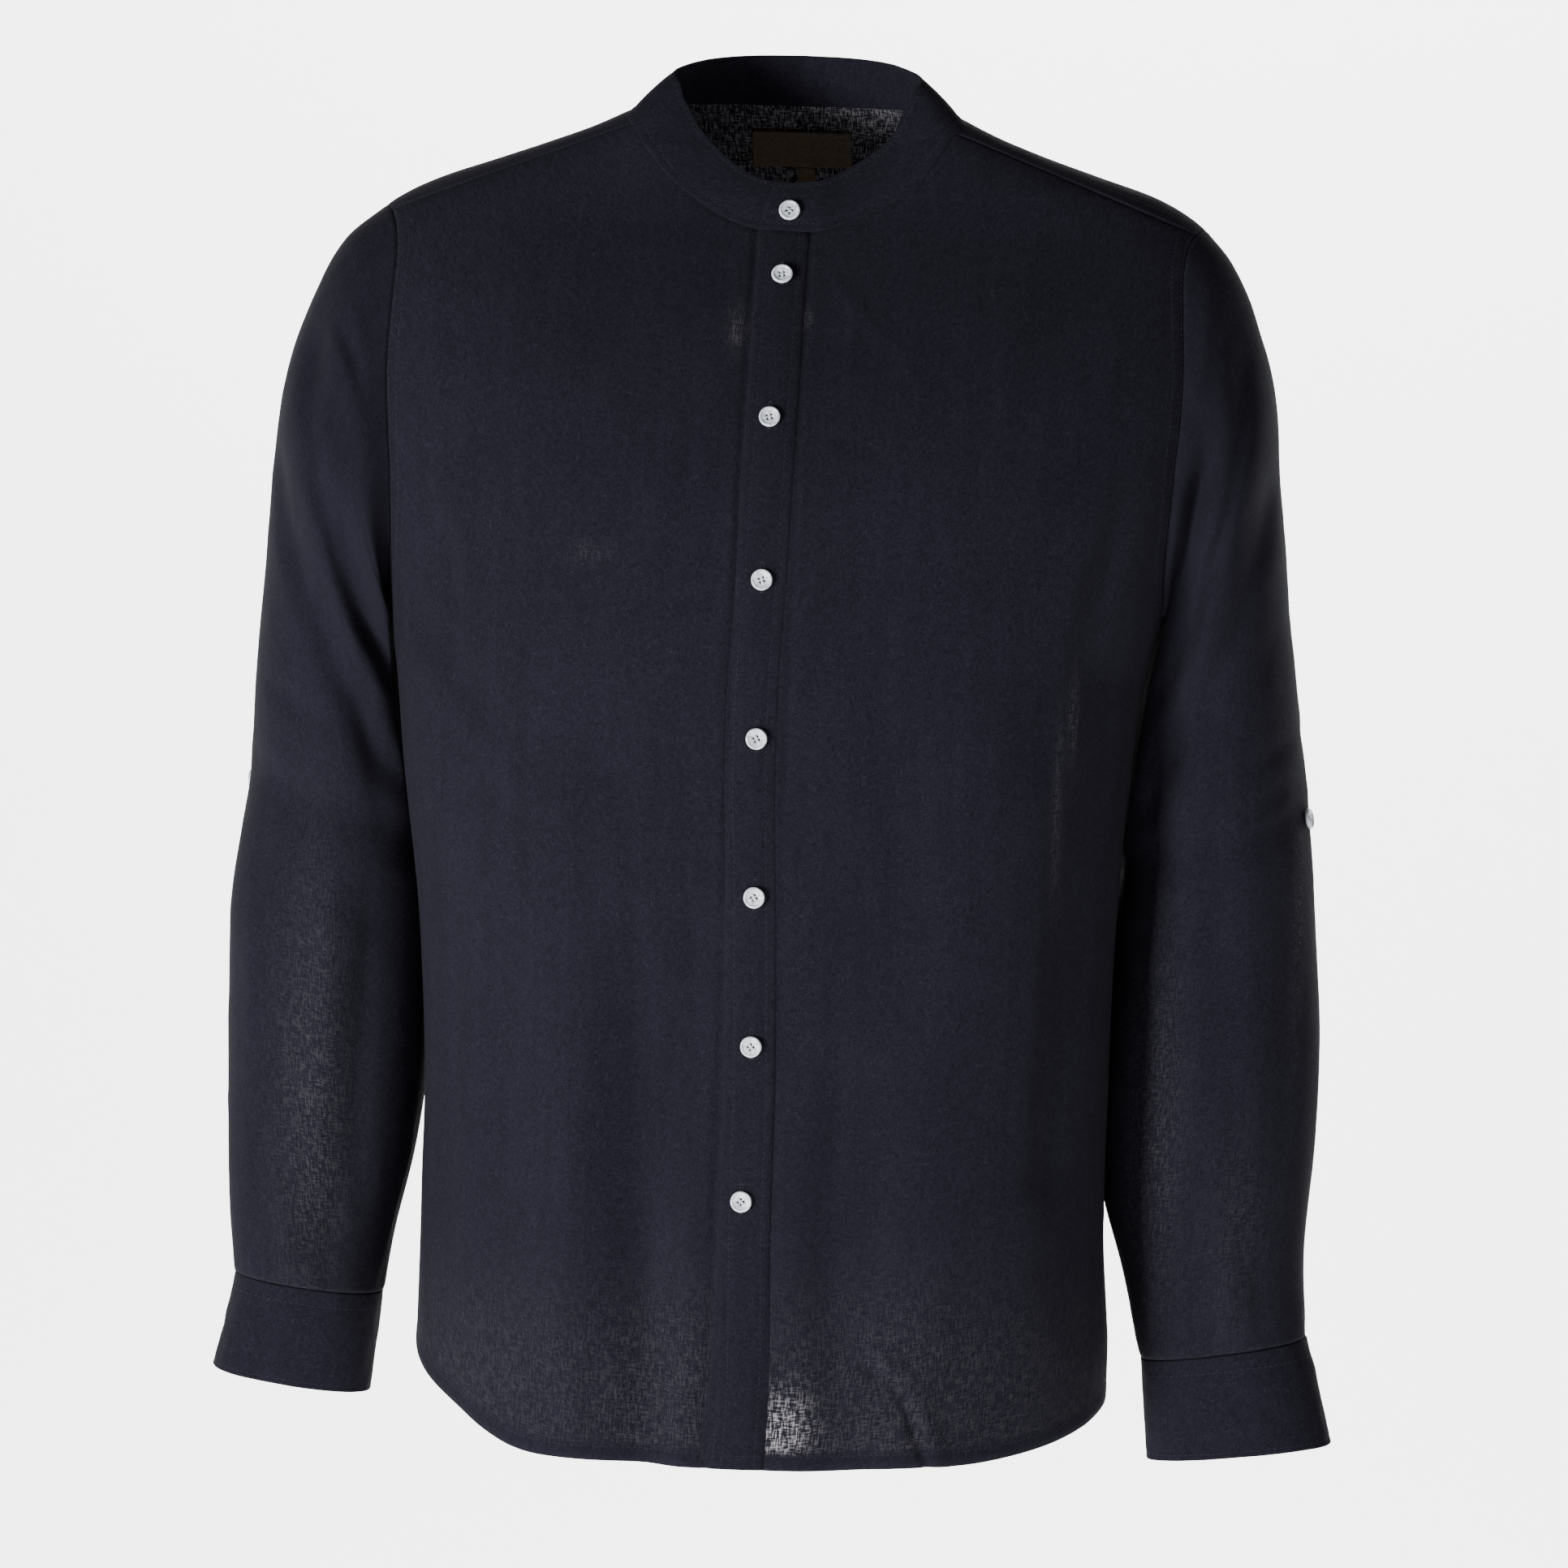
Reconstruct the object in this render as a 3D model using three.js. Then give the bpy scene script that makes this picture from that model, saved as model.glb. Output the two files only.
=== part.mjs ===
// A man's long-sleeved shirt with a mandarin collar, size L, buttoned up and filled out as it is worn.
// Millimetres, +Z up, the front faces -Y and the wearer's left is +X.
// The origin lies between the shoulders, level with the points where the shoulder ridges meet the collar.
// Each cut and sewn piece is a thin wall of cloth laid on one smooth form, so the shirt is hollow and open
// at the neck, the hem and the cuffs.

import * as THREE from "three";

// Driving sizes
const CLOTH = 1.3; // wall of one layer of cloth
const BAND = 1.9; // wall of the collar band and the cuffs, which are doubled and stiffened
const SEAM_GAP = 0.3; // clearance between two pieces where they meet
const YOKE_SEAM_UP = -95; // height of the seam across the back, below the yoke
const ARMPIT_UP = -271;
const SHOULDER_TIP_UP = -57;
const SIDE_HEM_UP = -682; // the hem at the side seams
const FRONT_TAIL = 42; // how much lower the hem is at the centre front than at the side seams
const BACK_TAIL = 52;
const HEM_TILT = 10; // how much the hem hangs lower at the wearer's left side seam and higher at the right
const HEM_RISE = 5; // how much the left front's hem is drawn up between its middle and its side
const BUTTON_RADIUS = 5.7; // an 18 line shirt button
const BUTTON_THICKNESS = 2.3;

// Materials
const cloth = (color) => new THREE.MeshStandardMaterial({ color, roughness: 0.9, metalness: 0 });
const NAVY_LINEN = cloth("#1b1c28");
const LABEL_WEAVE = cloth("#4a3d33");
const BUTTON_PEARL = new THREE.MeshStandardMaterial({ color: "#c9ced3", roughness: 0.35, metalness: 0 });

// Level sections of the body, from above the back of the neck down to below the hem. Across the shoulders
// the half width follows the ridge. front and back are depths from y = 0, mid is where the section is widest,
// shift moves it sideways, and hollow is how far the arm presses in the side.
const BODY = [
  { up: 16, wide: 66, front: 46, back: 30, mid: -16, shift: 0, hollow: 0 },
  { up: 9, wide: 73, front: 46, back: 38, mid: -16, shift: 0, hollow: 0 },
  { up: 3, wide: 82, front: 46, back: 46, mid: -16, shift: 0, hollow: 0 },
  { up: -10, wide: 108, front: 46, back: 60, mid: -15, shift: 0, hollow: 0 },
  { up: -20, wide: 134, front: 47, back: 69, mid: -13, shift: 0, hollow: 0 },
  { up: -30, wide: 163, front: 49, back: 77.5, mid: -11, shift: 1, hollow: 0 },
  { up: -40, wide: 192.5, front: 52, back: 85, mid: -9, shift: 2, hollow: 0 },
  { up: -50, wide: 213, front: 56, back: 92, mid: -7, shift: 1, hollow: 0 },
  { up: -62, wide: 228, front: 62, back: 99, mid: -5, shift: 0, hollow: 0 },
  { up: -80, wide: 237, front: 73, back: 109, mid: -4, shift: 0, hollow: 0 },
  { up: -110, wide: 241, front: 91, back: 122, mid: -2, shift: 0, hollow: 0 },
  { up: -150, wide: 240, front: 111, back: 134, mid: 0, shift: 0, hollow: 0 },
  { up: -200, wide: 233, front: 128, back: 143, mid: 0, shift: -1, hollow: 3 },
  { up: -250, wide: 223, front: 137, back: 148, mid: 0, shift: -2, hollow: 13 },
  { up: -300, wide: 215, front: 142, back: 148, mid: 0, shift: -4, hollow: 20 },
  { up: -360, wide: 209, front: 144, back: 146, mid: 0, shift: -4, hollow: 23 },
  { up: -440, wide: 201, front: 143, back: 143, mid: 0, shift: -1, hollow: 23 },
  { up: -520, wide: 197, front: 141, back: 142, mid: 0, shift: 1, hollow: 21 },
  { up: -600, wide: 194.5, front: 140, back: 142, mid: 0, shift: 1, hollow: 14 },
  { up: -680, wide: 193, front: 140, back: 144, mid: 0, shift: 3, hollow: 4 },
  { up: -760, wide: 187, front: 141, back: 147, mid: 0, shift: 0, hollow: 0 },
];
const SECTION_POWER = { front: 2.5, back: 2.3 }; // 2 is an ellipse, more is squarer
const HOLLOW_ANGLE = 103;
const HOLLOW_SPREAD = 24;

// Where the neckline runs on the body form, by angle round from the centre front.
const NECKLINE = [
  { angle: 0, up: -64 },
  { angle: 20, up: -62 },
  { angle: 40, up: -53 },
  { angle: 58, up: -38 },
  { angle: 68, up: -22 },
  { angle: 76, up: -9 },
  { angle: 90, up: 1 },
  { angle: 105, up: 4 },
  { angle: 120, up: 5 },
  { angle: 150, up: 6 },
  { angle: 180, up: 6 },
];
const SHOULDER_SEAM_NECK_ANGLE = 76;

// Soft folds of the body, each along a line from one point to another. Angles are degrees round from the
// centre front, positive to the wearer's left. A positive height is a ridge and a negative one a trough.
const MM_PER_DEGREE = 3;
const BODY_FOLDS = [
  { fromAngle: -14, fromUp: -440, toAngle: -22, toUp: -740, spread: 20, height: -5 },
  { fromAngle: -36, fromUp: -380, toAngle: -42, toUp: -740, spread: 26, height: 4 },
  { fromAngle: -62, fromUp: -430, toAngle: -60, toUp: -740, spread: 20, height: -3 },
  { fromAngle: 22, fromUp: -520, toAngle: 25, toUp: -740, spread: 18, height: -4 },
  { fromAngle: 42, fromUp: -330, toAngle: 40, toUp: -740, spread: 26, height: 3 },
  { fromAngle: 66, fromUp: -300, toAngle: 58, toUp: -560, spread: 18, height: -4 },
  { fromAngle: -66, fromUp: -200, toAngle: -52, toUp: -360, spread: 32, height: -3 },
  { fromAngle: 108, fromUp: -560, toAngle: 112, toUp: -740, spread: 24, height: 7 },
  { fromAngle: -108, fromUp: -560, toAngle: -112, toUp: -740, spread: 24, height: 7 },
  { fromAngle: 90, fromUp: -600, toAngle: 88, toUp: -740, spread: 16, height: -4 },
  { fromAngle: -90, fromUp: -600, toAngle: -88, toUp: -740, spread: 16, height: -4 },
  { fromAngle: 150, fromUp: -250, toAngle: 146, toUp: -740, spread: 28, height: 5 },
  { fromAngle: -152, fromUp: -280, toAngle: -144, toUp: -740, spread: 28, height: 5 },
  { fromAngle: 176, fromUp: -300, toAngle: 170, toUp: -740, spread: 26, height: -5 },
  { fromAngle: -128, fromUp: -330, toAngle: -128, toUp: -740, spread: 20, height: -4 },
  { fromAngle: 128, fromUp: -320, toAngle: 130, toUp: -740, spread: 20, height: -4 },
];

// The sleeves as rings, by distance down the outer line from the shoulder tip. Each ring runs from its outer
// point to its underarm point, across is positive away from the body, mid is its place front to back and
// deep its half depth. The last ring is the sleeve's end at the cuff.
const LEFT_SLEEVE = {
  side: 1,
  rings: [
    { along: 0, outAcross: 225, outUp: -57, inAcross: 204, inUp: -271, mid: 0, deep: 72 },
    { along: 26, outAcross: 240, outUp: -75, inAcross: 206, inUp: -275, mid: 0, deep: 76 },
    { along: 60, outAcross: 254.5, outUp: -106, inAcross: 205, inUp: -283, mid: 1, deep: 77 },
    { along: 100, outAcross: 265, outUp: -145, inAcross: 202, inUp: -294, mid: 3, deep: 77 },
    { along: 150, outAcross: 269.5, outUp: -195, inAcross: 198, inUp: -310, mid: 8, deep: 75 },
    { along: 205, outAcross: 275.5, outUp: -250, inAcross: 194, inUp: -332, mid: 12, deep: 72 },
    { along: 270, outAcross: 283.5, outUp: -314, inAcross: 189, inUp: -366, mid: 16, deep: 68 },
    { along: 335, outAcross: 292.5, outUp: -379, inAcross: 186, inUp: -412, mid: 18, deep: 64 },
    { along: 395, outAcross: 297.5, outUp: -438, inAcross: 184, inUp: -462, mid: 18, deep: 60 },
    { along: 455, outAcross: 302, outUp: -498, inAcross: 181, inUp: -518, mid: 15, deep: 55 },
    { along: 515, outAcross: 301, outUp: -558, inAcross: 184, inUp: -577, mid: 10, deep: 49 },
    { along: 570, outAcross: 297.5, outUp: -613, inAcross: 198, inUp: -629, mid: 4, deep: 42 },
    { along: 620, outAcross: 300, outUp: -659.4, inAcross: 210, inUp: -674.4, mid: -2, deep: 36 },
  ],
  cuff: [
    { outAcross: 301, outUp: -660, inAcross: 210, inUp: -675, mid: -2, deep: 34 },
    { outAcross: 316, outUp: -716.5, inAcross: 215, inUp: -729, mid: -10, deep: 29 },
  ],
};
const RIGHT_SLEEVE = {
  side: -1,
  rings: [
    { along: 0, outAcross: 225, outUp: -57, inAcross: 204, inUp: -271, mid: 0, deep: 72 },
    { along: 26, outAcross: 247, outUp: -76, inAcross: 206, inUp: -275, mid: 0, deep: 76 },
    { along: 60, outAcross: 263, outUp: -106, inAcross: 205, inUp: -283, mid: 1, deep: 77 },
    { along: 100, outAcross: 275.5, outUp: -144, inAcross: 202, inUp: -294, mid: 3, deep: 76 },
    { along: 150, outAcross: 282, outUp: -193, inAcross: 198, inUp: -310, mid: 8, deep: 74 },
    { along: 205, outAcross: 285.5, outUp: -248, inAcross: 194, inUp: -331, mid: 12, deep: 70 },
    { along: 270, outAcross: 290, outUp: -313, inAcross: 190, inUp: -365, mid: 15, deep: 66 },
    { along: 335, outAcross: 293, outUp: -378, inAcross: 188, inUp: -411, mid: 16, deep: 61 },
    { along: 395, outAcross: 300.5, outUp: -437, inAcross: 187, inUp: -461, mid: 14, deep: 58 },
    { along: 455, outAcross: 300, outUp: -497, inAcross: 188, inUp: -517, mid: 9, deep: 54 },
    { along: 515, outAcross: 298, outUp: -557, inAcross: 194, inUp: -574, mid: 3, deep: 49 },
    { along: 565, outAcross: 295, outUp: -607, inAcross: 203.5, inUp: -621, mid: -4, deep: 44 },
    { along: 608, outAcross: 290.5, outUp: -644.4, inAcross: 208, inUp: -653.4, mid: -10, deep: 41 },
  ],
  cuff: [
    { outAcross: 289.5, outUp: -645, inAcross: 208.5, inUp: -654, mid: -10, deep: 39 },
    { outAcross: 300, outUp: -697, inAcross: 213, inUp: -708, mid: -17, deep: 36 },
  ],
};
const SLEEVE_POWER = 2.2;
const SLEEVE_CLEAR = 2.6; // room between the sleeve and the side of the body
const CAP_FADE = 150; // length over which the sleeve's rings take over from the armhole's shape
const SLEEVE_STATIONS = [
  0, 9, 22, 38, 56, 76, 98, 122, 148, 176, 206, 238, 270, 302, 334, 366, 400, 434, 468, 502, 536, 568,
];

// Folds of the sleeves, by turn round the sleeve (0 outer line, 90 front, 180 underarm, 270 back) and by
// distance down it.
const SLEEVE_MM_PER_DEGREE = 1.1;
const SLEEVE_FOLDS = [
  { fromTurn: 40, fromAlong: 70, toTurn: 112, toAlong: 175, spread: 15, height: -6 },
  { fromTurn: 36, fromAlong: 150, toTurn: 128, toAlong: 285, spread: 15, height: -6 },
  { fromTurn: 60, fromAlong: 110, toTurn: 120, toAlong: 215, spread: 14, height: 4 },
  { fromTurn: 318, fromAlong: 80, toTurn: 246, toAlong: 190, spread: 15, height: -6 },
  { fromTurn: 322, fromAlong: 160, toTurn: 236, toAlong: 300, spread: 15, height: -5 },
  { fromTurn: 30, fromAlong: 318, toTurn: 345, toAlong: 346, spread: 20, height: -3 },
  { fromTurn: 100, fromAlong: 400, toTurn: 78, toAlong: 590, spread: 16, height: 3 },
  { fromTurn: 285, fromAlong: 480, toTurn: 300, toAlong: 600, spread: 15, height: -4 },
];

// The buttons down the front, by height and by how far each stands from the centre.
const FRONT_BUTTONS = [
  { up: -90, across: -1.2 },
  { up: -165, across: -2.8 },
  { up: -250, across: -1.1 },
  { up: -333.5, across: 1.5 },
  { up: -417.5, across: 0.5 },
  { up: -497, across: -1.2 },
  { up: -580, across: -4.2 },
];

// Shared counts, so that two pieces which meet have the same points along their seam
const SIDE_ROWS = 11;
const FRONT_ARMHOLE_ROWS = 10;
const BACK_ARMHOLE_ROWS = 9;
const YOKE_ARMHOLE_ROWS = 5;
const SHOULDER_ROWS = 7;
const FRONT_COLUMNS = 12;
const BACK_COLUMNS = 22;

const radians = THREE.MathUtils.degToRad;
const degrees = THREE.MathUtils.radToDeg;
const mix = THREE.MathUtils.lerp;
const ease = (t) => THREE.MathUtils.smoothstep(t, 0, 1);

// Reads a table as smooth curves: a cubic through its rows, for every column at once.
function curves(rows, key) {
  const names = Object.keys(rows[0]).filter((name) => name !== key);
  const sign = Math.sign(rows[1][key] - rows[0][key]);
  const slope = (i, name) => {
    const a = rows[Math.max(i - 1, 0)];
    const b = rows[Math.min(i + 1, rows.length - 1)];
    return (b[name] - a[name]) / (b[key] - a[key]);
  };
  return (value) => {
    let i = 0;
    while (i < rows.length - 2 && sign * (value - rows[i + 1][key]) > 0) i++;
    const [a, b] = [rows[i], rows[i + 1]];
    const step = b[key] - a[key];
    const t = THREE.MathUtils.clamp((value - a[key]) / step, 0, 1);
    const out = {};
    for (const name of names) {
      const [p, q] = [a[name], b[name]];
      const [m, n] = [slope(i, name) * step, slope(i + 1, name) * step];
      out[name] = p + t * (m + t * (3 * (q - p) - 2 * m - n + t * (2 * (p - q) + m + n)));
    }
    return out;
  };
}

const bodySection = curves(BODY, "up");
const necklineUp = curves(NECKLINE, "angle");

// The angle of a point, brought to between -180 and 180.
const wrapped = (angle) => ((((angle + 180) % 360) + 360) % 360) - 180;

// How far a point stands from a straight fold line, both in millimetres on the cloth.
function distanceToLine(x, y, x1, y1, x2, y2) {
  const [dx, dy] = [x2 - x1, y2 - y1];
  const t = THREE.MathUtils.clamp(((x - x1) * dx + (y - y1) * dy) / (dx * dx + dy * dy), 0, 1);
  return Math.hypot(x - x1 - t * dx, y - y1 - t * dy);
}

function bodyFolds(angle, up) {
  let total = 0;
  for (const f of BODY_FOLDS) {
    const middle = (f.fromAngle + f.toAngle) / 2;
    const near = middle + wrapped(angle - middle);
    const away = distanceToLine(
      near * MM_PER_DEGREE, up, f.fromAngle * MM_PER_DEGREE, f.fromUp, f.toAngle * MM_PER_DEGREE, f.toUp,
    );
    total += f.height * Math.exp(-((away / f.spread) ** 2));
  }
  return total;
}

// A point on the outside of the body form, by angle round from the centre front and by height.
function body(angle, up) {
  const section = bodySection(up);
  const around = wrapped(angle);
  const [sin, cos] = [Math.sin(radians(around)), Math.cos(radians(around))];
  const power = cos > 0 ? SECTION_POWER.front : SECTION_POWER.back;
  const depth = cos > 0 ? section.front + section.mid : section.back - section.mid;
  const radius = (Math.abs(sin / section.wide) ** power + Math.abs(cos / depth) ** power) ** (-1 / power);
  const pressed = section.hollow * Math.exp(-(((Math.abs(around) - HOLLOW_ANGLE) / HOLLOW_SPREAD) ** 2));
  const reach = radius - pressed + bodyFolds(around, up);
  return new THREE.Vector3(section.shift + reach * sin, section.mid - reach * cos, up);
}

// The outward direction of a surface given as a function of two values.
function outward(surface, a, b, stepA, stepB) {
  const alongA = surface(a + stepA, b).sub(surface(a - stepA, b));
  const alongB = surface(a, b + stepB).sub(surface(a, b - stepB));
  return alongA.cross(alongB).normalize();
}
const bodyOutward = (angle, up) => outward(body, angle, up, 0.4, 0.6);

// Closes a grid of outer points and directions into a wall: outer face, inner face and rims.
function wall(grid, thickness, lift = 0, round = false) {
  const rows = grid.length;
  const columns = grid[0].length;
  const layer = rows * columns;
  const points = [];
  for (const depth of [lift, lift - thickness]) {
    for (const { point, normal } of grid.flat()) {
      points.push(...point.clone().addScaledVector(normal, depth).toArray());
    }
  }
  const index = [];
  const face = (a, b, c, d) => index.push(a, b, c, a, c, d);
  const at = (row, column) => row * columns + (column % columns);
  const lastColumn = round ? columns : columns - 1;
  for (let row = 0; row < rows - 1; row++) {
    for (let column = 0; column < lastColumn; column++) {
      const [a, b] = [at(row, column), at(row, column + 1)];
      const [c, d] = [at(row + 1, column + 1), at(row + 1, column)];
      face(a, b, c, d);
      face(layer + a, layer + d, layer + c, layer + b);
    }
  }
  for (let column = 0; column < lastColumn; column++) {
    const [a, b] = [at(0, column), at(0, column + 1)];
    const [c, d] = [at(rows - 1, column), at(rows - 1, column + 1)];
    face(b, a, layer + a, layer + b);
    face(c, d, layer + d, layer + c);
  }
  for (let row = 0; row < rows - 1 && !round; row++) {
    const [a, b] = [at(row, 0), at(row + 1, 0)];
    const [c, d] = [at(row, columns - 1), at(row + 1, columns - 1)];
    face(a, b, layer + b, layer + a);
    face(d, c, layer + c, layer + d);
  }
  const geometry = new THREE.BufferGeometry();
  geometry.setAttribute("position", new THREE.Float32BufferAttribute(points, 3));
  geometry.setIndex(index);
  geometry.computeVertexNormals();
  return geometry;
}

const shirt = new THREE.Group();
function add(name, geometry, material) {
  const mesh = new THREE.Mesh(geometry, material);
  mesh.name = name;
  shirt.add(mesh);
  return mesh;
}

// The armhole on the body form. Turn 0 is the shoulder tip, 90 the front, 180 the armpit and 270 the back.
const ARMHOLE_FRONT_BITE = 17;
const ARMHOLE_BACK_BITE = 18;
const ARMHOLE_FRONT_SEAM_TURN = 13;
const ARMHOLE_BACK_SEAM_TURN = 310.2;
function armhole(side, turn) {
  const [sin, cos] = [Math.sin(radians(turn)), Math.cos(radians(turn))];
  const bite = sin > 0 ? -ARMHOLE_FRONT_BITE : ARMHOLE_BACK_BITE;
  const up = (SHOULDER_TIP_UP + ARMPIT_UP) / 2 + ((SHOULDER_TIP_UP - ARMPIT_UP) / 2) * cos;
  return { angle: side * (90 + bite * Math.abs(sin) ** 0.6 * (1 - 0.25 * cos)), up, side, turn };
}

// Evenly spaced values from one end to the other, both included.
const steps = (from, to, count) => Array.from({ length: count + 1 }, (_, i) => mix(from, to, i / count));

// The chart points of one stretch of the armhole.
const armholeEdge = (side, from, to, count) => steps(from, to, count).map((turn) => armhole(side, turn));

// Angle round from the centre front at which a front reaches a given distance across.
function angleAcross(across, up) {
  const { wide, front, mid } = bodySection(up);
  const share = Math.abs(across) / wide;
  const ahead = (front + mid) * (1 - share ** SECTION_POWER.front) ** (1 / SECTION_POWER.front);
  return Math.sign(across) * degrees(Math.atan2(Math.abs(across), ahead));
}

// The front shoulder seam, straight from the armhole to the neckline and a little below the ridge.
function shoulderSeam(side) {
  const from = armhole(side, ARMHOLE_FRONT_SEAM_TURN);
  const to = { angle: side * SHOULDER_SEAM_NECK_ANGLE, up: necklineUp(SHOULDER_SEAM_NECK_ANGLE).up };
  const start = body(from.angle, from.up);
  const end = body(to.angle, to.up);
  const inside = steps(0, 1, SHOULDER_ROWS).map((t) => {
    const at = start.clone().lerp(end, t);
    return { angle: angleAcross(at.x - bodySection(at.z).shift, at.z), up: at.z };
  });
  return [from, ...inside.slice(1, -1), to];
}

// The hem's height by angle: lowest at the centre front and back, highest at the side seams.
function hemUp(angle) {
  const around = Math.abs(wrapped(angle));
  const tail = around < 90 ? FRONT_TAIL : BACK_TAIL;
  const fromMiddle = around < 90 ? around / 90 : (180 - around) / 90;
  const curve = 0.12 * fromMiddle ** 2 + 0.88 * ease((fromMiddle - 0.45) / 0.55);
  const risen = HEM_RISE * Math.exp(-(((wrapped(angle) - 46) / 18) ** 2));
  return SIDE_HEM_UP - tail * (1 - curve) - HEM_TILT * Math.sin(radians(angle)) ** 5 + risen;
}

// Moves a point of a sleeve straight out from the body where it comes closer than a clearance.
function clearOfBody(point, clearance) {
  const { shift, mid } = bodySection(point.z);
  const [across, ahead] = [point.x - shift, mid - point.y];
  const beside = body(degrees(Math.atan2(across, ahead)), point.z);
  const reach = Math.hypot(beside.x - shift, beside.y - mid) + clearance;
  const now = Math.hypot(across, ahead);
  if (point.z > ARMPIT_UP + 60 || now >= reach) return point;
  const share = ease((ARMPIT_UP + 60 - point.z) / 50);
  const grown = mix(now, reach, share) / now;
  return point.set(shift + across * grown, mid - ahead * grown, point.z);
}

// One sleeve: a point on its outside by turn and by distance down it.
const foldsFade = (along, end) => ease(along / 60) * ease((end - along) / 18);
function sleeveSurface({ side, rings }) {
  const ring = curves(rings, "along");
  const end = rings.at(-1).along;
  const plain = (turn, along) => {
    const { outAcross, outUp, inAcross, inUp, mid, deep } = ring(along);
    const [sin, cos] = [Math.sin(radians(turn)), Math.cos(radians(turn))];
    const size = (Math.abs(sin) ** SLEEVE_POWER + Math.abs(cos) ** SLEEVE_POWER) ** (-1 / SLEEVE_POWER);
    return new THREE.Vector3(
      side * ((outAcross + inAcross) / 2 + (size * cos * (outAcross - inAcross)) / 2),
      mid - size * sin * deep,
      (outUp + inUp) / 2 + (size * cos * (outUp - inUp)) / 2,
    );
  };
  return (turn, along) => {
    const hole = armhole(side, turn);
    const start = body(hole.angle, hole.up);
    start.x += side * SEAM_GAP * 1.8;
    const fade = 1 - ease(along / CAP_FADE);
    const point = plain(turn, along).addScaledVector(start.sub(plain(turn, 0)), fade);
    let folds = 0;
    for (const f of SLEEVE_FOLDS) {
      const middle = (f.fromTurn + f.toTurn) / 2;
      const near = middle + wrapped(turn - middle);
      const away = distanceToLine(
        near * SLEEVE_MM_PER_DEGREE, along,
        f.fromTurn * SLEEVE_MM_PER_DEGREE, f.fromAlong, f.toTurn * SLEEVE_MM_PER_DEGREE, f.toAlong,
      );
      folds += f.height * Math.exp(-((away / f.spread) ** 2));
    }
    const { outAcross, inAcross, outUp, inUp, mid } = ring(along);
    const centre = new THREE.Vector3((side * (outAcross + inAcross)) / 2, mid, (outUp + inUp) / 2);
    const away = point.clone().sub(centre).normalize();
    point.addScaledVector(away, folds * foldsFade(along, end));
    return clearOfBody(point, SEAM_GAP + (SLEEVE_CLEAR - SEAM_GAP) * ease(along / 24));
  };
}
const sleeveAt = { 1: sleeveSurface(LEFT_SLEEVE), [-1]: sleeveSurface(RIGHT_SLEEVE) };

// Where a sleeve meets the body both walls are cut along the direction halfway between the two surfaces.
function armholeDirection(side, turn) {
  const hole = armhole(side, turn);
  const ofSleeve = (t, along) => sleeveAt[side](t, Math.max(along, 0));
  const down = ofSleeve(turn, 7).sub(ofSleeve(turn, 0));
  const round = ofSleeve(turn + 3, 2).sub(ofSleeve(turn - 3, 2));
  const own = round.cross(down).multiplyScalar(side).normalize();
  return own.add(bodyOutward(hole.angle, hole.up)).normalize();
}

// Fills a four-sided piece between its edges, given as chart points, and lifts it onto the body form.
function patch(left, right, bottom, top) {
  const rows = left.length - 1;
  const columns = bottom.length - 1;
  return left.map((_, j) =>
    bottom.map((_, i) => {
      const [u, v] = [i / columns, j / rows];
      const blend = (name) =>
        mix(left[j][name], right[j][name], u) +
        mix(bottom[i][name], top[i][name], v) -
        mix(
          mix(left[0][name], right[0][name], u),
          mix(left[rows][name], right[rows][name], u),
          v,
        );
      const [angle, up] = [blend("angle"), blend("up")];
      const side1 = (i === 0 && left[j]) || (i === columns && right[j]);
      const { turn, side } = side1 || (j === 0 && bottom[i]) || {};
      const normal = turn === undefined ? bodyOutward(angle, up) : armholeDirection(side, turn);
      return { point: body(angle, up), normal, angle, up };
    }),
  );
}

const SIDE_SEAM_GAP = 0.06; // half a seam's clearance, in degrees
const SHOULDER_GAP = 0.15; // the same across the ridge, where the cloth turns more
const HALF_GAP = SEAM_GAP / 2;
const turnedBy = (edge, by) => edge.map((point) => ({ ...point, angle: point.angle + by }));

// The side seam of the front or the back, from the hem up to just below the armpit.
function sideSeam(side, away) {
  const angle = side * (90 + away);
  return steps(hemUp(angle), ARMPIT_UP, SIDE_ROWS).map((up) => ({ angle, up }));
}

// The outer edge of a front: side seam, armhole and shoulder seam, ending at the neckline.
function frontOuterEdge(side) {
  const seam = sideSeam(side, -SIDE_SEAM_GAP);
  const hole = armholeEdge(side, 180, ARMHOLE_FRONT_SEAM_TURN, FRONT_ARMHOLE_ROWS);
  const shoulder = turnedBy(shoulderSeam(side), -side * SHOULDER_GAP);
  return [...seam, ...hole.slice(1, -1), ...shoulder];
}

// A strip's edge down the front: its distance across from the centre, by height.
const OVER_EDGE = [
  { up: -40, across: -15 },
  { up: -300, across: -15.5 },
  { up: -600, across: -15.5 },
  { up: -760, across: -17 },
];
const UNDER_EDGE = [
  { up: -40, across: -12.5 },
  { up: -480, across: -12.5 },
  { up: -620, across: -18 },
  { up: -760, across: -26 },
];
const PLACKET_SEAM = [
  { up: -40, across: 12 },
  { up: -300, across: 12 },
  { up: -600, across: 12 },
  { up: -760, across: 11 },
];
const UNDER_END = [
  { up: -40, across: 6 },
  { up: -300, across: 7 },
  { up: -600, across: 6 },
  { up: -760, across: 0 },
];
// Heights at the centre front that stand level with the armpit and with the shoulder tip
const CENTRE_BY_ARMPIT = -285;
const CENTRE_BY_SHOULDER = -118;

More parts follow.
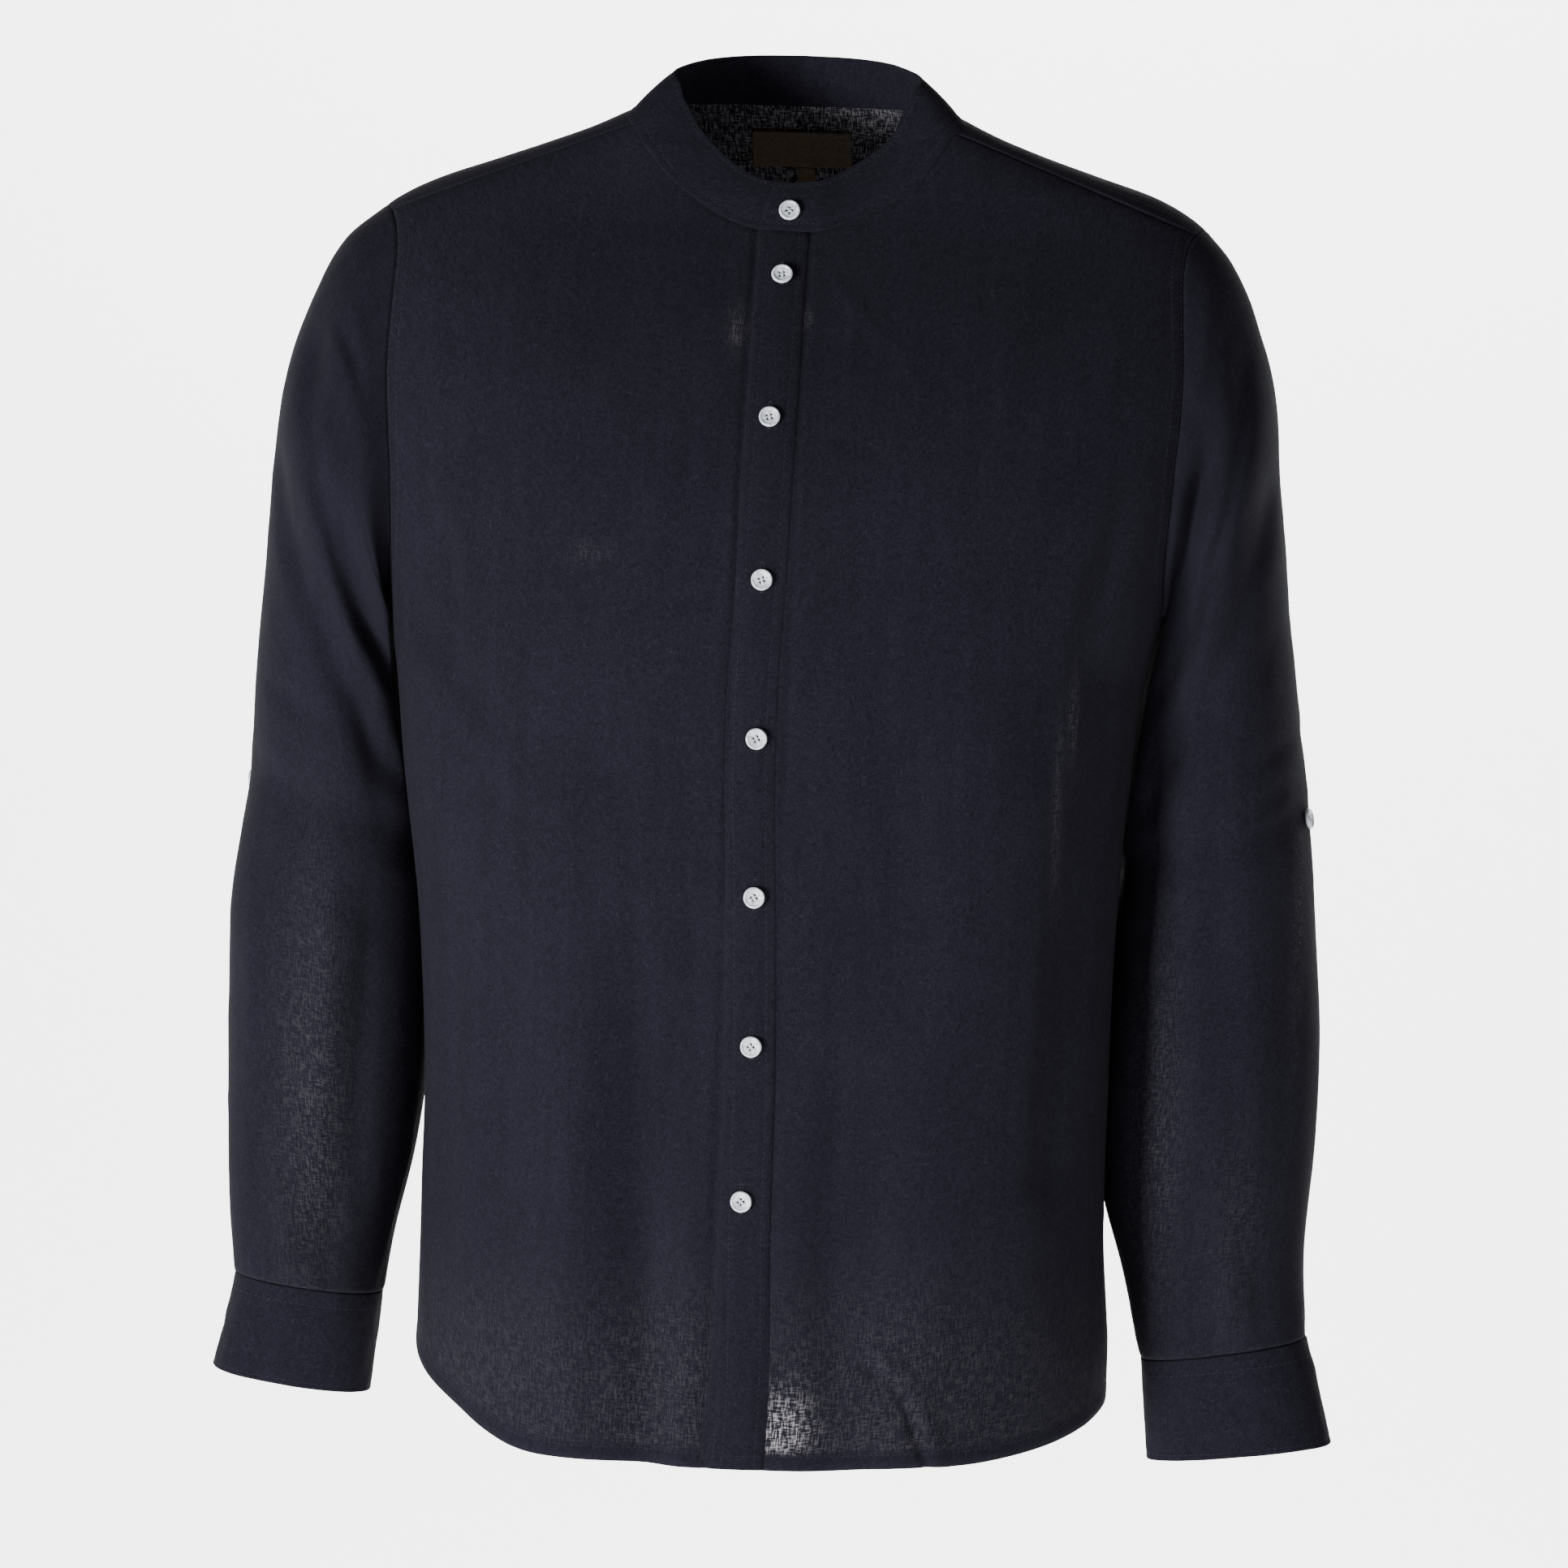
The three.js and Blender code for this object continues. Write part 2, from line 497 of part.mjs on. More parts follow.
// The chart points of such an edge, from the hem to the neckline.
function edgeDown(table, shift) {
  const across = curves(table, "up");
  const angleAt = (up) => angleAcross(across(up).across + shift, up);
  const top = necklineUp(Math.abs(angleAt(necklineUp(0).up))).up;
  const bottom = hemUp(angleAt(hemUp(0)));
  const ups = [
    ...steps(bottom, CENTRE_BY_ARMPIT, SIDE_ROWS),
    ...steps(CENTRE_BY_ARMPIT, CENTRE_BY_SHOULDER, FRONT_ARMHOLE_ROWS).slice(1),
    ...steps(CENTRE_BY_SHOULDER, top, SHOULDER_ROWS).slice(1),
  ];
  return ups.map((up) => ({ angle: angleAt(up), up }));
}
const alongHem = (from, to, count) =>
  steps(from, to, count).map((angle) => ({ angle, up: hemUp(angle) }));
const alongNeck = (from, to, count) =>
  steps(from, to, count).map((angle) => ({ angle, up: necklineUp(Math.abs(wrapped(angle))).up }));

// A front panel, from its edge beside the placket to the side seam.
function frontPanel(side, edge, shift) {
  const outer = frontOuterEdge(side);
  const inner = edgeDown(edge, shift);
  const hem = alongHem(inner[0].angle, outer[0].angle, FRONT_COLUMNS);
  const neck = alongNeck(inner.at(-1).angle, side * SHOULDER_SEAM_NECK_ANGLE, FRONT_COLUMNS);
  neck[FRONT_COLUMNS] = outer.at(-1);
  const grid = patch(inner, outer, hem, neck);
  return side > 0 ? grid : grid.map((row) => row.reverse());
}
add("front_left", wall(frontPanel(1, PLACKET_SEAM, SEAM_GAP), CLOTH), NAVY_LINEN);
add("front_right", wall(frontPanel(-1, UNDER_EDGE, -SEAM_GAP), CLOTH), NAVY_LINEN);

// The two plackets. The wearer's left one lies over the other, stands off it, and comes down to its own
// front at the seam.
function placket(from, to, columns, lowered) {
  const left = edgeDown(from, 0);
  const right = edgeDown(to, 0);
  const hem = alongHem(left[0].angle, right[0].angle, columns);
  const neck = alongNeck(left.at(-1).angle, right.at(-1).angle, columns);
  for (const point of [...neck, left.at(-1), right.at(-1)]) point.up -= lowered;
  neck[0] = left.at(-1);
  neck[columns] = right.at(-1);
  return patch(left, right, hem, neck);
}
const OVER_COLUMNS = 5;
const OVER_LIFT = [1.9, 2.2, 2.2, 2.2, 1.9, 0.7]; // by column, from the free edge to the seam
const over = placket(OVER_EDGE, PLACKET_SEAM, OVER_COLUMNS, 1.8);
for (const row of over) row.forEach((at, i) => at.point.addScaledVector(at.normal, OVER_LIFT[i]));
add("placket_over", wall(over, CLOTH), NAVY_LINEN);
add("placket_under", wall(placket(UNDER_EDGE, UNDER_END, 3, 0), CLOTH), NAVY_LINEN);

// The back panel, from the wearer's left side round to the right, up to the yoke.
function backPanel() {
  const edge = (side) => [
    ...sideSeam(side, SIDE_SEAM_GAP),
    ...armholeEdge(side, 180, ARMHOLE_BACK_SEAM_TURN, BACK_ARMHOLE_ROWS).slice(1),
  ];
  const turned = (points) => points.map((point) => ({ ...point, angle: 360 + point.angle }));
  const left = edge(1);
  const right = turned(edge(-1));
  const across = (row) => steps(left[row].angle, right[row].angle, BACK_COLUMNS);
  const hem = across(0).map((angle) => ({ angle, up: hemUp(angle) }));
  const top = across(left.length - 1).map((angle) => ({ angle, up: YOKE_SEAM_UP - HALF_GAP }));
  left.at(-1).up = YOKE_SEAM_UP - HALF_GAP;
  right.at(-1).up = YOKE_SEAM_UP - HALF_GAP;
  return patch(left, right, hem, top);
}
add("back", wall(backPanel(), CLOTH), NAVY_LINEN);

// The yoke: from the left front shoulder seam round the back of the neck to the right one.
function yokePanel() {
  const lastTurn = ARMHOLE_BACK_SEAM_TURN - 360;
  const hole = (side) => armholeEdge(side, ARMHOLE_FRONT_SEAM_TURN, lastTurn, YOKE_ARMHOLE_ROWS);
  const turned = (point) => ({ ...point, angle: 360 + point.angle });
  const leftHole = hole(1);
  const rightHole = hole(-1).map(turned).reverse();
  const seam = steps(leftHole.at(-1).angle, rightHole[0].angle, BACK_COLUMNS).map((angle) => ({
    angle,
    up: YOKE_SEAM_UP + HALF_GAP,
  }));
  seam[0] = { ...leftHole.at(-1), up: YOKE_SEAM_UP + HALF_GAP };
  seam[BACK_COLUMNS] = { ...rightHole[0], up: YOKE_SEAM_UP + HALF_GAP };
  const outer = [...leftHole.slice(0, -1), ...seam, ...rightHole.slice(1)];
  const neck = alongNeck(SHOULDER_SEAM_NECK_ANGLE, 360 - SHOULDER_SEAM_NECK_ANGLE, outer.length - 1);
  const leftSeam = turnedBy(shoulderSeam(1), SHOULDER_GAP);
  const rightSeam = turnedBy(shoulderSeam(-1), 360 - SHOULDER_GAP);
  outer[0] = leftSeam[0];
  outer[outer.length - 1] = rightSeam[0];
  neck[0] = leftSeam.at(-1);
  neck[neck.length - 1] = rightSeam.at(-1);
  return patch(leftSeam, rightSeam, outer, neck);
}
add("yoke", wall(yokePanel(), CLOTH), NAVY_LINEN);

// A grid that closes on itself round a sleeve or a neck gets its directions from its own neighbours.
function directions(grid, round) {
  const [rows, columns] = [grid.length, grid[0].length];
  const at = (j, i) => grid[THREE.MathUtils.clamp(j, 0, rows - 1)][
    round ? (i + columns) % columns : THREE.MathUtils.clamp(i, 0, columns - 1)
  ];
  return grid.map((row, j) =>
    row.map((point, i) => {
      const round1 = at(j, i + 1).clone().sub(at(j, i - 1));
      const along = at(j + 1, i).clone().sub(at(j - 1, i));
      return { point, normal: round1.cross(along).normalize() };
    }),
  );
}

// The collar band, from its end under the button, round the neck and back to its end over the button.
const COLLAR = [
  { angle: 0, lean: 11, rise: 24.5 },
  { angle: 40, lean: 14, rise: 25 },
  { angle: 75, lean: 23, rise: 23.5 },
  { angle: 100, lean: 25, rise: 22.5 },
  { angle: 140, lean: 13, rise: 24.5 },
  { angle: 180, lean: 6, rise: 25.5 },
];
const collarShape = curves(COLLAR, "angle");
const COLLAR_UNDER_END = 12; // degrees past the centre front
const COLLAR_OVER_END = 14.5;
const COLLAR_COLUMNS = 44;
const COLLAR_ROWS = 3;
const COLLAR_LAP = BAND + 0.5;
function collarPoint(angle, share, out) {
  const around = Math.abs(wrapped(angle));
  const base = body(angle, necklineUp(around).up);
  const { lean, rise } = collarShape(around);
  const inward = new THREE.Vector3(-base.x, -base.y + 4, 0).normalize();
  const bow = Math.sin(Math.PI * share) * 1.2;
  base.addScaledVector(inward, lean * share - bow - out + 0.6);
  base.z += SEAM_GAP + rise * share + 0.4;
  return base;
}
function collarGrid() {
  const [from, to] = [-COLLAR_OVER_END, 360 + COLLAR_UNDER_END];
  return steps(0, 1, COLLAR_ROWS).map((share) =>
    steps(0, 1, COLLAR_COLUMNS).map((t) => {
      const angle = mix(from + 5 * share ** 1.5, to - 3 * share ** 1.5, t);
      const lift = COLLAR_LAP * (1 - ease((angle - 14) / 20));
      return collarPoint(angle, share, lift);
    }),
  );
}
add("collar_band", wall(directions(collarGrid(), false), BAND), NAVY_LINEN);

const TURNS = [
  ...steps(180, ARMHOLE_FRONT_SEAM_TURN, FRONT_ARMHOLE_ROWS).slice(0, -1),
  ...steps(ARMHOLE_FRONT_SEAM_TURN, ARMHOLE_BACK_SEAM_TURN - 360, YOKE_ARMHOLE_ROWS).slice(0, -1),
  ...steps(ARMHOLE_BACK_SEAM_TURN - 360, -180, BACK_ARMHOLE_ROWS).slice(0, -1),
];
function sleeve(name, shape) {
  const surface = sleeveSurface(shape);
  const end = shape.rings.at(-1).along;
  const stations = [...SLEEVE_STATIONS.filter((along) => along < end - 20), end];
  const round = shape.side > 0 ? TURNS : [...TURNS].reverse();
  const grid = stations.map((along) => round.map((turn) => surface(turn, along))).reverse();
  const faced = directions(grid, true);
  faced.at(-1).forEach((at, i) => at.normal.copy(armholeDirection(shape.side, round[i])));
  add(name, wall(faced, CLOTH, 0, true), NAVY_LINEN);
}
sleeve("sleeve_left", LEFT_SLEEVE);
sleeve("sleeve_right", RIGHT_SLEEVE);

// The cuffs. Each is one strip round the wrist whose end laps over its start at the back of the arm.
const CUFF_FROM = 244;
const CUFF_LAP = 26;
const CUFF_COLUMNS = 26;
const CUFF_ROWS = 3;
function cuffPoint({ side, cuff }, turn, share, out) {
  const [top, bottom] = cuff;
  const at = (name) => mix(top[name], bottom[name], share);
  const [sin, cos] = [Math.sin(radians(turn)), Math.cos(radians(turn))];
  const size = (Math.abs(sin) ** SLEEVE_POWER + Math.abs(cos) ** SLEEVE_POWER) ** (-1 / SLEEVE_POWER);
  const half = (at("outAcross") - at("inAcross")) / 2;
  const point = new THREE.Vector3(
    side * ((at("outAcross") + at("inAcross")) / 2 + (half + out) * size * cos),
    at("mid") - (at("deep") + out) * size * sin,
    (at("outUp") + at("inUp")) / 2 + ((at("outUp") - at("inUp")) / 2) * size * cos,
  );
  return point;
}
function cuff(name, shape) {
  const turns = steps(CUFF_FROM + 360 + CUFF_LAP, CUFF_FROM, CUFF_COLUMNS);
  const round = shape.side > 0 ? turns : turns.reverse();
  const lift = (turn) => (BAND + SEAM_GAP) * ease((turn - CUFF_FROM - 345) / 15);
  const grid = steps(1, 0, CUFF_ROWS).map((share) =>
    round.map((turn) => cuffPoint(shape, turn, share, lift(turn))),
  );
  add(name, wall(directions(grid, false), BAND), NAVY_LINEN);
}
cuff("cuff_left", LEFT_SLEEVE);
cuff("cuff_right", RIGHT_SLEEVE);

// The plain placket above each cuff, laid on the back of the sleeve.
const SLEEVE_PLACKET = { from: 246, to: 272, long: 128, stand: 0.8 };
function sleevePlacket(name, shape) {
  const surface = sleeveAt[shape.side];
  const end = shape.rings.at(-1).along;
  const turns = steps(SLEEVE_PLACKET.to, SLEEVE_PLACKET.from, 4);
  const round = shape.side > 0 ? turns : turns.reverse();
  const grid = steps(end - 0.5, end - SLEEVE_PLACKET.long, 8).map((along) =>
    round.map((turn) => surface(turn, along)),
  );
  add(name, wall(directions(grid, false), CLOTH, CLOTH + SLEEVE_PLACKET.stand), NAVY_LINEN);
}
sleevePlacket("sleeve_placket_left", LEFT_SLEEVE);
sleevePlacket("sleeve_placket_right", RIGHT_SLEEVE);

// Two plain woven labels inside the back of the neck, laid on the inside of the yoke.
function label(name, { from, to, top, bottom, columns, rows, behind }) {
  const grid = steps(bottom, top, rows).map((up) =>
    steps(to, from, columns).map((across) => {
      const { back, mid } = bodySection(up);
      const angle = 180 - degrees(Math.atan2(across, back - mid));
      return { point: body(angle, up), normal: bodyOutward(angle, up) };
    }),
  );
  add(name, wall(grid, 0.8, -CLOTH - behind), LABEL_WEAVE);
}
label("label_main", { from: -29.8, to: 26.2, top: -8.2, bottom: -27.2, columns: 8, rows: 4, behind: 0.35 });
label("label_size", { from: -6, to: 4.5, top: -27.6, bottom: -36.8, columns: 2, rows: 2, behind: 0.35 });

// A round button with a raised rim, turned as one body and set on the cloth with its face along a direction.
const BUTTON_SIDES = 16;
const BUTTON_PROFILE = [
  { out: BUTTON_RADIUS - 0.9, up: 0 },
  { out: BUTTON_RADIUS, up: 0.7 },
  { out: BUTTON_RADIUS, up: BUTTON_THICKNESS - 0.5 },
  { out: BUTTON_RADIUS - 0.5, up: BUTTON_THICKNESS },
  { out: BUTTON_RADIUS - 1.3, up: BUTTON_THICKNESS - 0.1 },
  { out: BUTTON_RADIUS - 2, up: BUTTON_THICKNESS - 0.7 },
];
function buttonShape() {
  const points = [0, 0, 0];
  const index = [];
  for (const { out, up } of BUTTON_PROFILE) {
    for (let i = 0; i < BUTTON_SIDES; i++) {
      const turn = (2 * Math.PI * i) / BUTTON_SIDES;
      points.push(out * Math.cos(turn), out * Math.sin(turn), up);
    }
  }
  points.push(0, 0, BUTTON_PROFILE.at(-1).up);
  const top = points.length / 3 - 1;
  const at = (ring, i) => 1 + ring * BUTTON_SIDES + (i % BUTTON_SIDES);
  for (let i = 0; i < BUTTON_SIDES; i++) {
    index.push(0, at(0, i + 1), at(0, i));
    for (let ring = 0; ring < BUTTON_PROFILE.length - 1; ring++) {
      const [a, b] = [at(ring, i), at(ring, i + 1)];
      const [c, d] = [at(ring + 1, i + 1), at(ring + 1, i)];
      index.push(a, b, c, a, c, d);
    }
    index.push(top, at(BUTTON_PROFILE.length - 1, i), at(BUTTON_PROFILE.length - 1, i + 1));
  }
  const geometry = new THREE.BufferGeometry();
  geometry.setAttribute("position", new THREE.Float32BufferAttribute(points, 3));
  geometry.setIndex(index);
  geometry.computeVertexNormals();
  return geometry;
}
const BUTTON_STAND = 0.4;
function button(name, point, normal, lift) {
  const mesh = add(name, buttonShape(), BUTTON_PEARL);
  mesh.quaternion.setFromUnitVectors(new THREE.Vector3(0, 0, 1), normal);
  mesh.position.copy(point).addScaledVector(normal, lift + BUTTON_STAND);
}

// The front buttons stand on the upper placket.
FRONT_BUTTONS.forEach(({ up, across }, i) => {
  const angle = angleAcross(across, up);
  button(`button_front_${i + 1}`, body(angle, up), bodyOutward(angle, up), OVER_LIFT[2]);
});

// The collar's button, on the end that lies over.
const collarMiddle = (angle, share) => collarPoint(angle, share, COLLAR_LAP);
const collarFace = outward(collarMiddle, 0.5, 0.36, 1, 0.1);
button("button_collar", collarMiddle(0.5, 0.36), collarFace, 0.2);

// A button on the back of each cuff, and one on the outside of each sleeve for its roll-up tab.
const SLEEVE_BUTTONS = [
  { word: "left", shape: LEFT_SLEEVE, turn: 16, along: 331 },
  { word: "right", shape: RIGHT_SLEEVE, turn: 352, along: 333 },
];
for (const { word, shape, turn, along } of SLEEVE_BUTTONS) {
  const onCuff = (t, share) => cuffPoint(shape, t, share, BAND + SEAM_GAP);
  const cuffTurn = CUFF_FROM + 12;
  const cuffFace = outward(onCuff, cuffTurn, 0.5, 1, 0.1).multiplyScalar(shape.side);
  button(`button_cuff_${word}`, onCuff(cuffTurn, 0.5), cuffFace, 0.1);
  const face = outward(sleeveAt[shape.side], turn, along, 1, 2).multiplyScalar(shape.side);
  button(`button_tab_${word}`, sleeveAt[shape.side](turn, along), face, 0.6);
}

export default shirt;
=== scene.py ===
# %% [markdown]
# # Dressing a mandarin collar shirt
#
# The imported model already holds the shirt's pieces at their real size: fronts, back, yoke, sleeves, cuffs,
# collar band, plackets, labels and buttons. Here each plain wall gets a fine sheet of linen laid on the
# same form, with its creases, topstitching and weave. The shirt is filled out as on a wearer, and nobody is
# in it.

# %% Load the frame
import math

import bmesh
import bpy
import numpy as np
from mathutils import Matrix, Vector
from mathutils.bvhtree import BVHTree


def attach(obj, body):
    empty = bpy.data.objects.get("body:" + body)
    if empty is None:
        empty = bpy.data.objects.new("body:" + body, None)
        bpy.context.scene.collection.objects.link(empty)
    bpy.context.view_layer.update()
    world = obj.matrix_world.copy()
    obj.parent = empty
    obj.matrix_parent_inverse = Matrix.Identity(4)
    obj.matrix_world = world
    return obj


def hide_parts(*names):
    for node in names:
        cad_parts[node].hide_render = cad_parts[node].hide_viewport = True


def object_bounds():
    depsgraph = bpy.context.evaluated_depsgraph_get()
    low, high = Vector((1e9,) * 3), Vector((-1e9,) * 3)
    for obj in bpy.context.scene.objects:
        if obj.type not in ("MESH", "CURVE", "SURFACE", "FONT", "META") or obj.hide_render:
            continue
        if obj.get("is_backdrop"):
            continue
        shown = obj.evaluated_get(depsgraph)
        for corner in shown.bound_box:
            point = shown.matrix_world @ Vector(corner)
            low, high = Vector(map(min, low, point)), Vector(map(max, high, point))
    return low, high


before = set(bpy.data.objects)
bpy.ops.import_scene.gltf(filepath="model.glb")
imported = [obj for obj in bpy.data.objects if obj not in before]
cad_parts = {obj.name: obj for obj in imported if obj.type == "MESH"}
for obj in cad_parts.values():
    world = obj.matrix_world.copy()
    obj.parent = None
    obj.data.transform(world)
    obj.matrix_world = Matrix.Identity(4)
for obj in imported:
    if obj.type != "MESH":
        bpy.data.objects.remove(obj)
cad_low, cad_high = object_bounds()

print("nodes in the frame:", len(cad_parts))

# %% [markdown]
# ## Camera
#
# The photograph is taken with a long lens from a little above the middle of the shirt and a few degrees to
# the wearer's left. The shirt hangs slightly turned in it, so the camera is rolled and the shirt stays
# straight.

# %% Camera
LOOK_AT = Vector((0.0036, 0, -0.367))
CAMERA_DISTANCE = 4.0
FRAME_WIDTH = 0.86  # metres across the picture at the shirt
turn, rise, roll = math.radians(3.5), math.radians(4.0), math.radians(1.85)

backwards = Vector((math.sin(turn) * math.cos(rise), -math.cos(turn) * math.cos(rise), math.sin(rise)))
level_right = Vector((math.cos(turn), math.sin(turn), 0))
level_up = backwards.cross(level_right)
right = level_right * math.cos(roll) + level_up * math.sin(roll)
up = level_up * math.cos(roll) - level_right * math.sin(roll)

camera_data = bpy.data.cameras.new("camera")
camera_data.sensor_width = 36
camera_data.lens = 36 * CAMERA_DISTANCE / FRAME_WIDTH
camera_data.clip_end = 60
camera = bpy.data.objects.new("camera", camera_data)
bpy.context.scene.collection.objects.link(camera)
place = Matrix((right, up, backwards)).transposed().to_4x4()
place.translation = LOOK_AT + backwards * CAMERA_DISTANCE
camera.matrix_world = place
bpy.context.scene.camera = camera
print("lens", round(camera_data.lens, 1), "mm")

# %% [markdown]
# ## The form of the body
#
# The same short tables as in the part's source give level sections of the body in millimetres. A chart of
# two numbers, the angle round from the centre front and the height, finds any point on the cloth. All
# panels share it, so their edges meet. Working with whole arrays at once keeps thousands of points quick.

# %% Section tables
MM = 0.001


def table_of(columns, *rows):
    """One dictionary for each row of numbers, under the names of its columns."""
    return [dict(zip(columns.split(), row)) for row in rows]


BODY = table_of(
    "up wide front back mid shift hollow",
    (16, 66, 46, 30, -16, 0, 0), (9, 73, 46, 38, -16, 0, 0), (3, 82, 46, 46, -16, 0, 0),
    (-10, 108, 46, 60, -15, 0, 0), (-20, 134, 47, 69, -13, 0, 0), (-30, 163, 49, 77.5, -11, 1, 0),
    (-40, 192.5, 52, 85, -9, 2, 0), (-50, 213, 56, 92, -7, 1, 0), (-62, 228, 62, 99, -5, 0, 0),
    (-80, 237, 73, 109, -4, 0, 0), (-110, 241, 91, 122, -2, 0, 0), (-150, 240, 111, 134, 0, 0, 0),
    (-200, 233, 128, 143, 0, -1, 3), (-250, 223, 137, 148, 0, -2, 13), (-300, 215, 142, 148, 0, -4, 20),
    (-360, 209, 144, 146, 0, -4, 23), (-440, 201, 143, 143, 0, -1, 23), (-520, 197, 141, 142, 0, 1, 21),
    (-600, 194.5, 140, 142, 0, 1, 14), (-680, 193, 140, 144, 0, 3, 4), (-760, 187, 141, 147, 0, 0, 0),
)
NECKLINE = table_of(
    "angle up",
    (0, -64), (20, -62), (40, -53), (58, -38), (68, -22), (76, -9), (90, 1), (105, 4), (120, 5), (150, 6),
    (180, 6),
)


def curves(rows, key):
    """Smooth curves through a table's rows, for every named column at once."""
    names = [name for name in rows[0] if name != key]
    keys = np.array([row[key] for row in rows], float)
    columns = {name: np.array([row[name] for row in rows], float) for name in names}
    sign = np.sign(keys[1] - keys[0])
    before = np.maximum(np.arange(len(keys)) - 1, 0)
    after = np.minimum(np.arange(len(keys)) + 1, len(keys) - 1)
    slopes = {n: (c[after] - c[before]) / (keys[after] - keys[before]) for n, c in columns.items()}

    def at(value):
        value = np.asarray(value, float)
        i = np.clip(np.searchsorted(sign * keys, sign * value) - 1, 0, len(keys) - 2)
        step = keys[i + 1] - keys[i]
        t = np.clip((value - keys[i]) / step, 0, 1)
        found = {}
        for n, c in columns.items():
            p, q, m, w = c[i], c[i + 1], slopes[n][i] * step, slopes[n][i + 1] * step
            found[n] = p + t * (m + t * (3 * (q - p) - 2 * m - w + t * (2 * (p - q) + m + w)))
        return found

    return at


body_section = curves(BODY, "up")
neckline_up = curves(NECKLINE, "angle")
print("half width at the chest:", round(float(body_section(-150)["wide"])), "mm")


# %% Small helpers for arrays
def mix(a, b, t):
    return a + (b - a) * t


def ease(t):
    t = np.clip(t, 0, 1)
    return t * t * (3 - 2 * t)


def wrapped(angle):
    return (np.asarray(angle, float) + 180) % 360 - 180


def power(value, exponent):
    return np.abs(value) ** exponent


def bump(away, spread):
    """A soft hill of height 1, from how far a place lies from its middle."""
    return np.exp(-((away / spread) ** 2))


def points(x, y, z):
    return np.stack(np.broadcast_arrays(x, y, z), -1)


def unit(vectors):
    return vectors / np.maximum(np.linalg.norm(vectors, axis=-1, keepdims=True), 1e-12)


def soft_noise(x, y, size, seed):
    """Smooth random heights from -1 to 1, with hills about one size across."""
    lattice = np.random.default_rng(seed).uniform(-1, 1, (64, 64))
    gx, gy = np.asarray(x) / size, np.asarray(y) / size
    ix, iy = np.floor(gx).astype(int), np.floor(gy).astype(int)
    fx, fy = ease(gx - ix), ease(gy - iy)
    low = mix(lattice[ix % 64, iy % 64], lattice[(ix + 1) % 64, iy % 64], fx)
    high = mix(lattice[ix % 64, (iy + 1) % 64], lattice[(ix + 1) % 64, (iy + 1) % 64], fx)
    return mix(low, high, fy)


def crumple(x, y, seed, height=1.0):
    """The small, sharp-edged creases that linen keeps: ridged noise at two sizes, bent by a third."""
    bend_x = x + 14 * soft_noise(x, y, 55, seed + 1)
    bend_y = y + 14 * soft_noise(x, y, 60, seed + 2)
    broad = 1 - np.abs(soft_noise(bend_x, bend_y * 0.7, 34, seed + 3)) * 2
    fine = 1 - np.abs(soft_noise(bend_x, bend_y * 0.8, 15, seed + 4)) * 2
    patch = ease(0.5 + soft_noise(x, y, 80, seed + 5))
    return height * (0.28 * np.maximum(broad, 0) ** 2 + 0.12 * patch * np.maximum(fine, 0) ** 2)


# %% [markdown]
# ## Folds
#
# A fold is a soft ridge or trough along a short line on the cloth. The first table is the one the solids
# use. The second adds what only shows at this scale: the drag lines at the armholes, the long soft flutes
# of the front, and a crisp crease by the hem. Its places on the front are given across and up, as a ruler
# would.

# %% Body folds
MM_PER_DEGREE = 3
BODY_FOLDS = table_of(
    "angle up to_angle to_up spread height",
    (-14, -440, -22, -740, 20, -5), (-36, -380, -42, -740, 26, 4), (-62, -430, -60, -740, 20, -3),
    (22, -520, 25, -740, 18, -4), (42, -330, 40, -740, 26, 3), (66, -300, 58, -560, 18, -4),
    (-66, -200, -52, -360, 32, -3), (108, -560, 112, -740, 24, 7), (-108, -560, -112, -740, 24, 7),
    (90, -600, 88, -740, 16, -4), (-90, -600, -88, -740, 16, -4), (150, -250, 146, -740, 28, 5),
    (-152, -280, -144, -740, 28, 5), (176, -300, 170, -740, 26, -5), (-128, -330, -128, -740, 20, -4),
    (128, -320, 130, -740, 20, -4),
)
FRONT_CREASES = table_of(
    "across up to_across to_up spread height",
    (-174, -204, -160, -262, 5, 1.6), (-186, -214, -168, -292, 7, -2.2), (-196, -262, -150, -330, 9, -2),
    (-192, -292, -120, -372, 8, 1.5), (186, -208, 172, -286, 7, -2.4), (178, -196, 160, -262, 5, 1.4),
    (190, -268, 140, -352, 9, -1.8), (184, -318, 128, -396, 9, 1.6), (62, -664, 82, -682, 2.2, -3.8),
    (82, -682, 98, -722, 2.2, -3.8), (66, -659, 88, -678, 4.5, 2.2), (88, -678, 105, -722, 4.5, 2.2),
    (-66, -440, -60, -736, 12, -6.5), (-92, -470, -96, -736, 12, 4.2), (-34, -500, -34, -736, 10, 3.4),
    (42, -520, 46, -736, 11, -3), (118, -470, 112, -720, 11, -1.6), (146, -420, 150, -700, 9, 1.5),
    (-132, -430, -136, -710, 10, -1.6), (-158, -480, -160, -690, 8, 1.3), (70, -300, 84, -520, 13, -1.2),
    (-84, -260, -76, -500, 15, -1.1), (-112, -120, -60, -210, 12, 0.9), (118, -118, 66, -214, 12, 0.9),
    (-28, -96, -58, -130, 6, 0.7), (30, -92, 62, -128, 6, 0.8), (22, -172, 54, -180, 5, -0.6),
    (-24, -256, -56, -262, 5, -0.6),
)
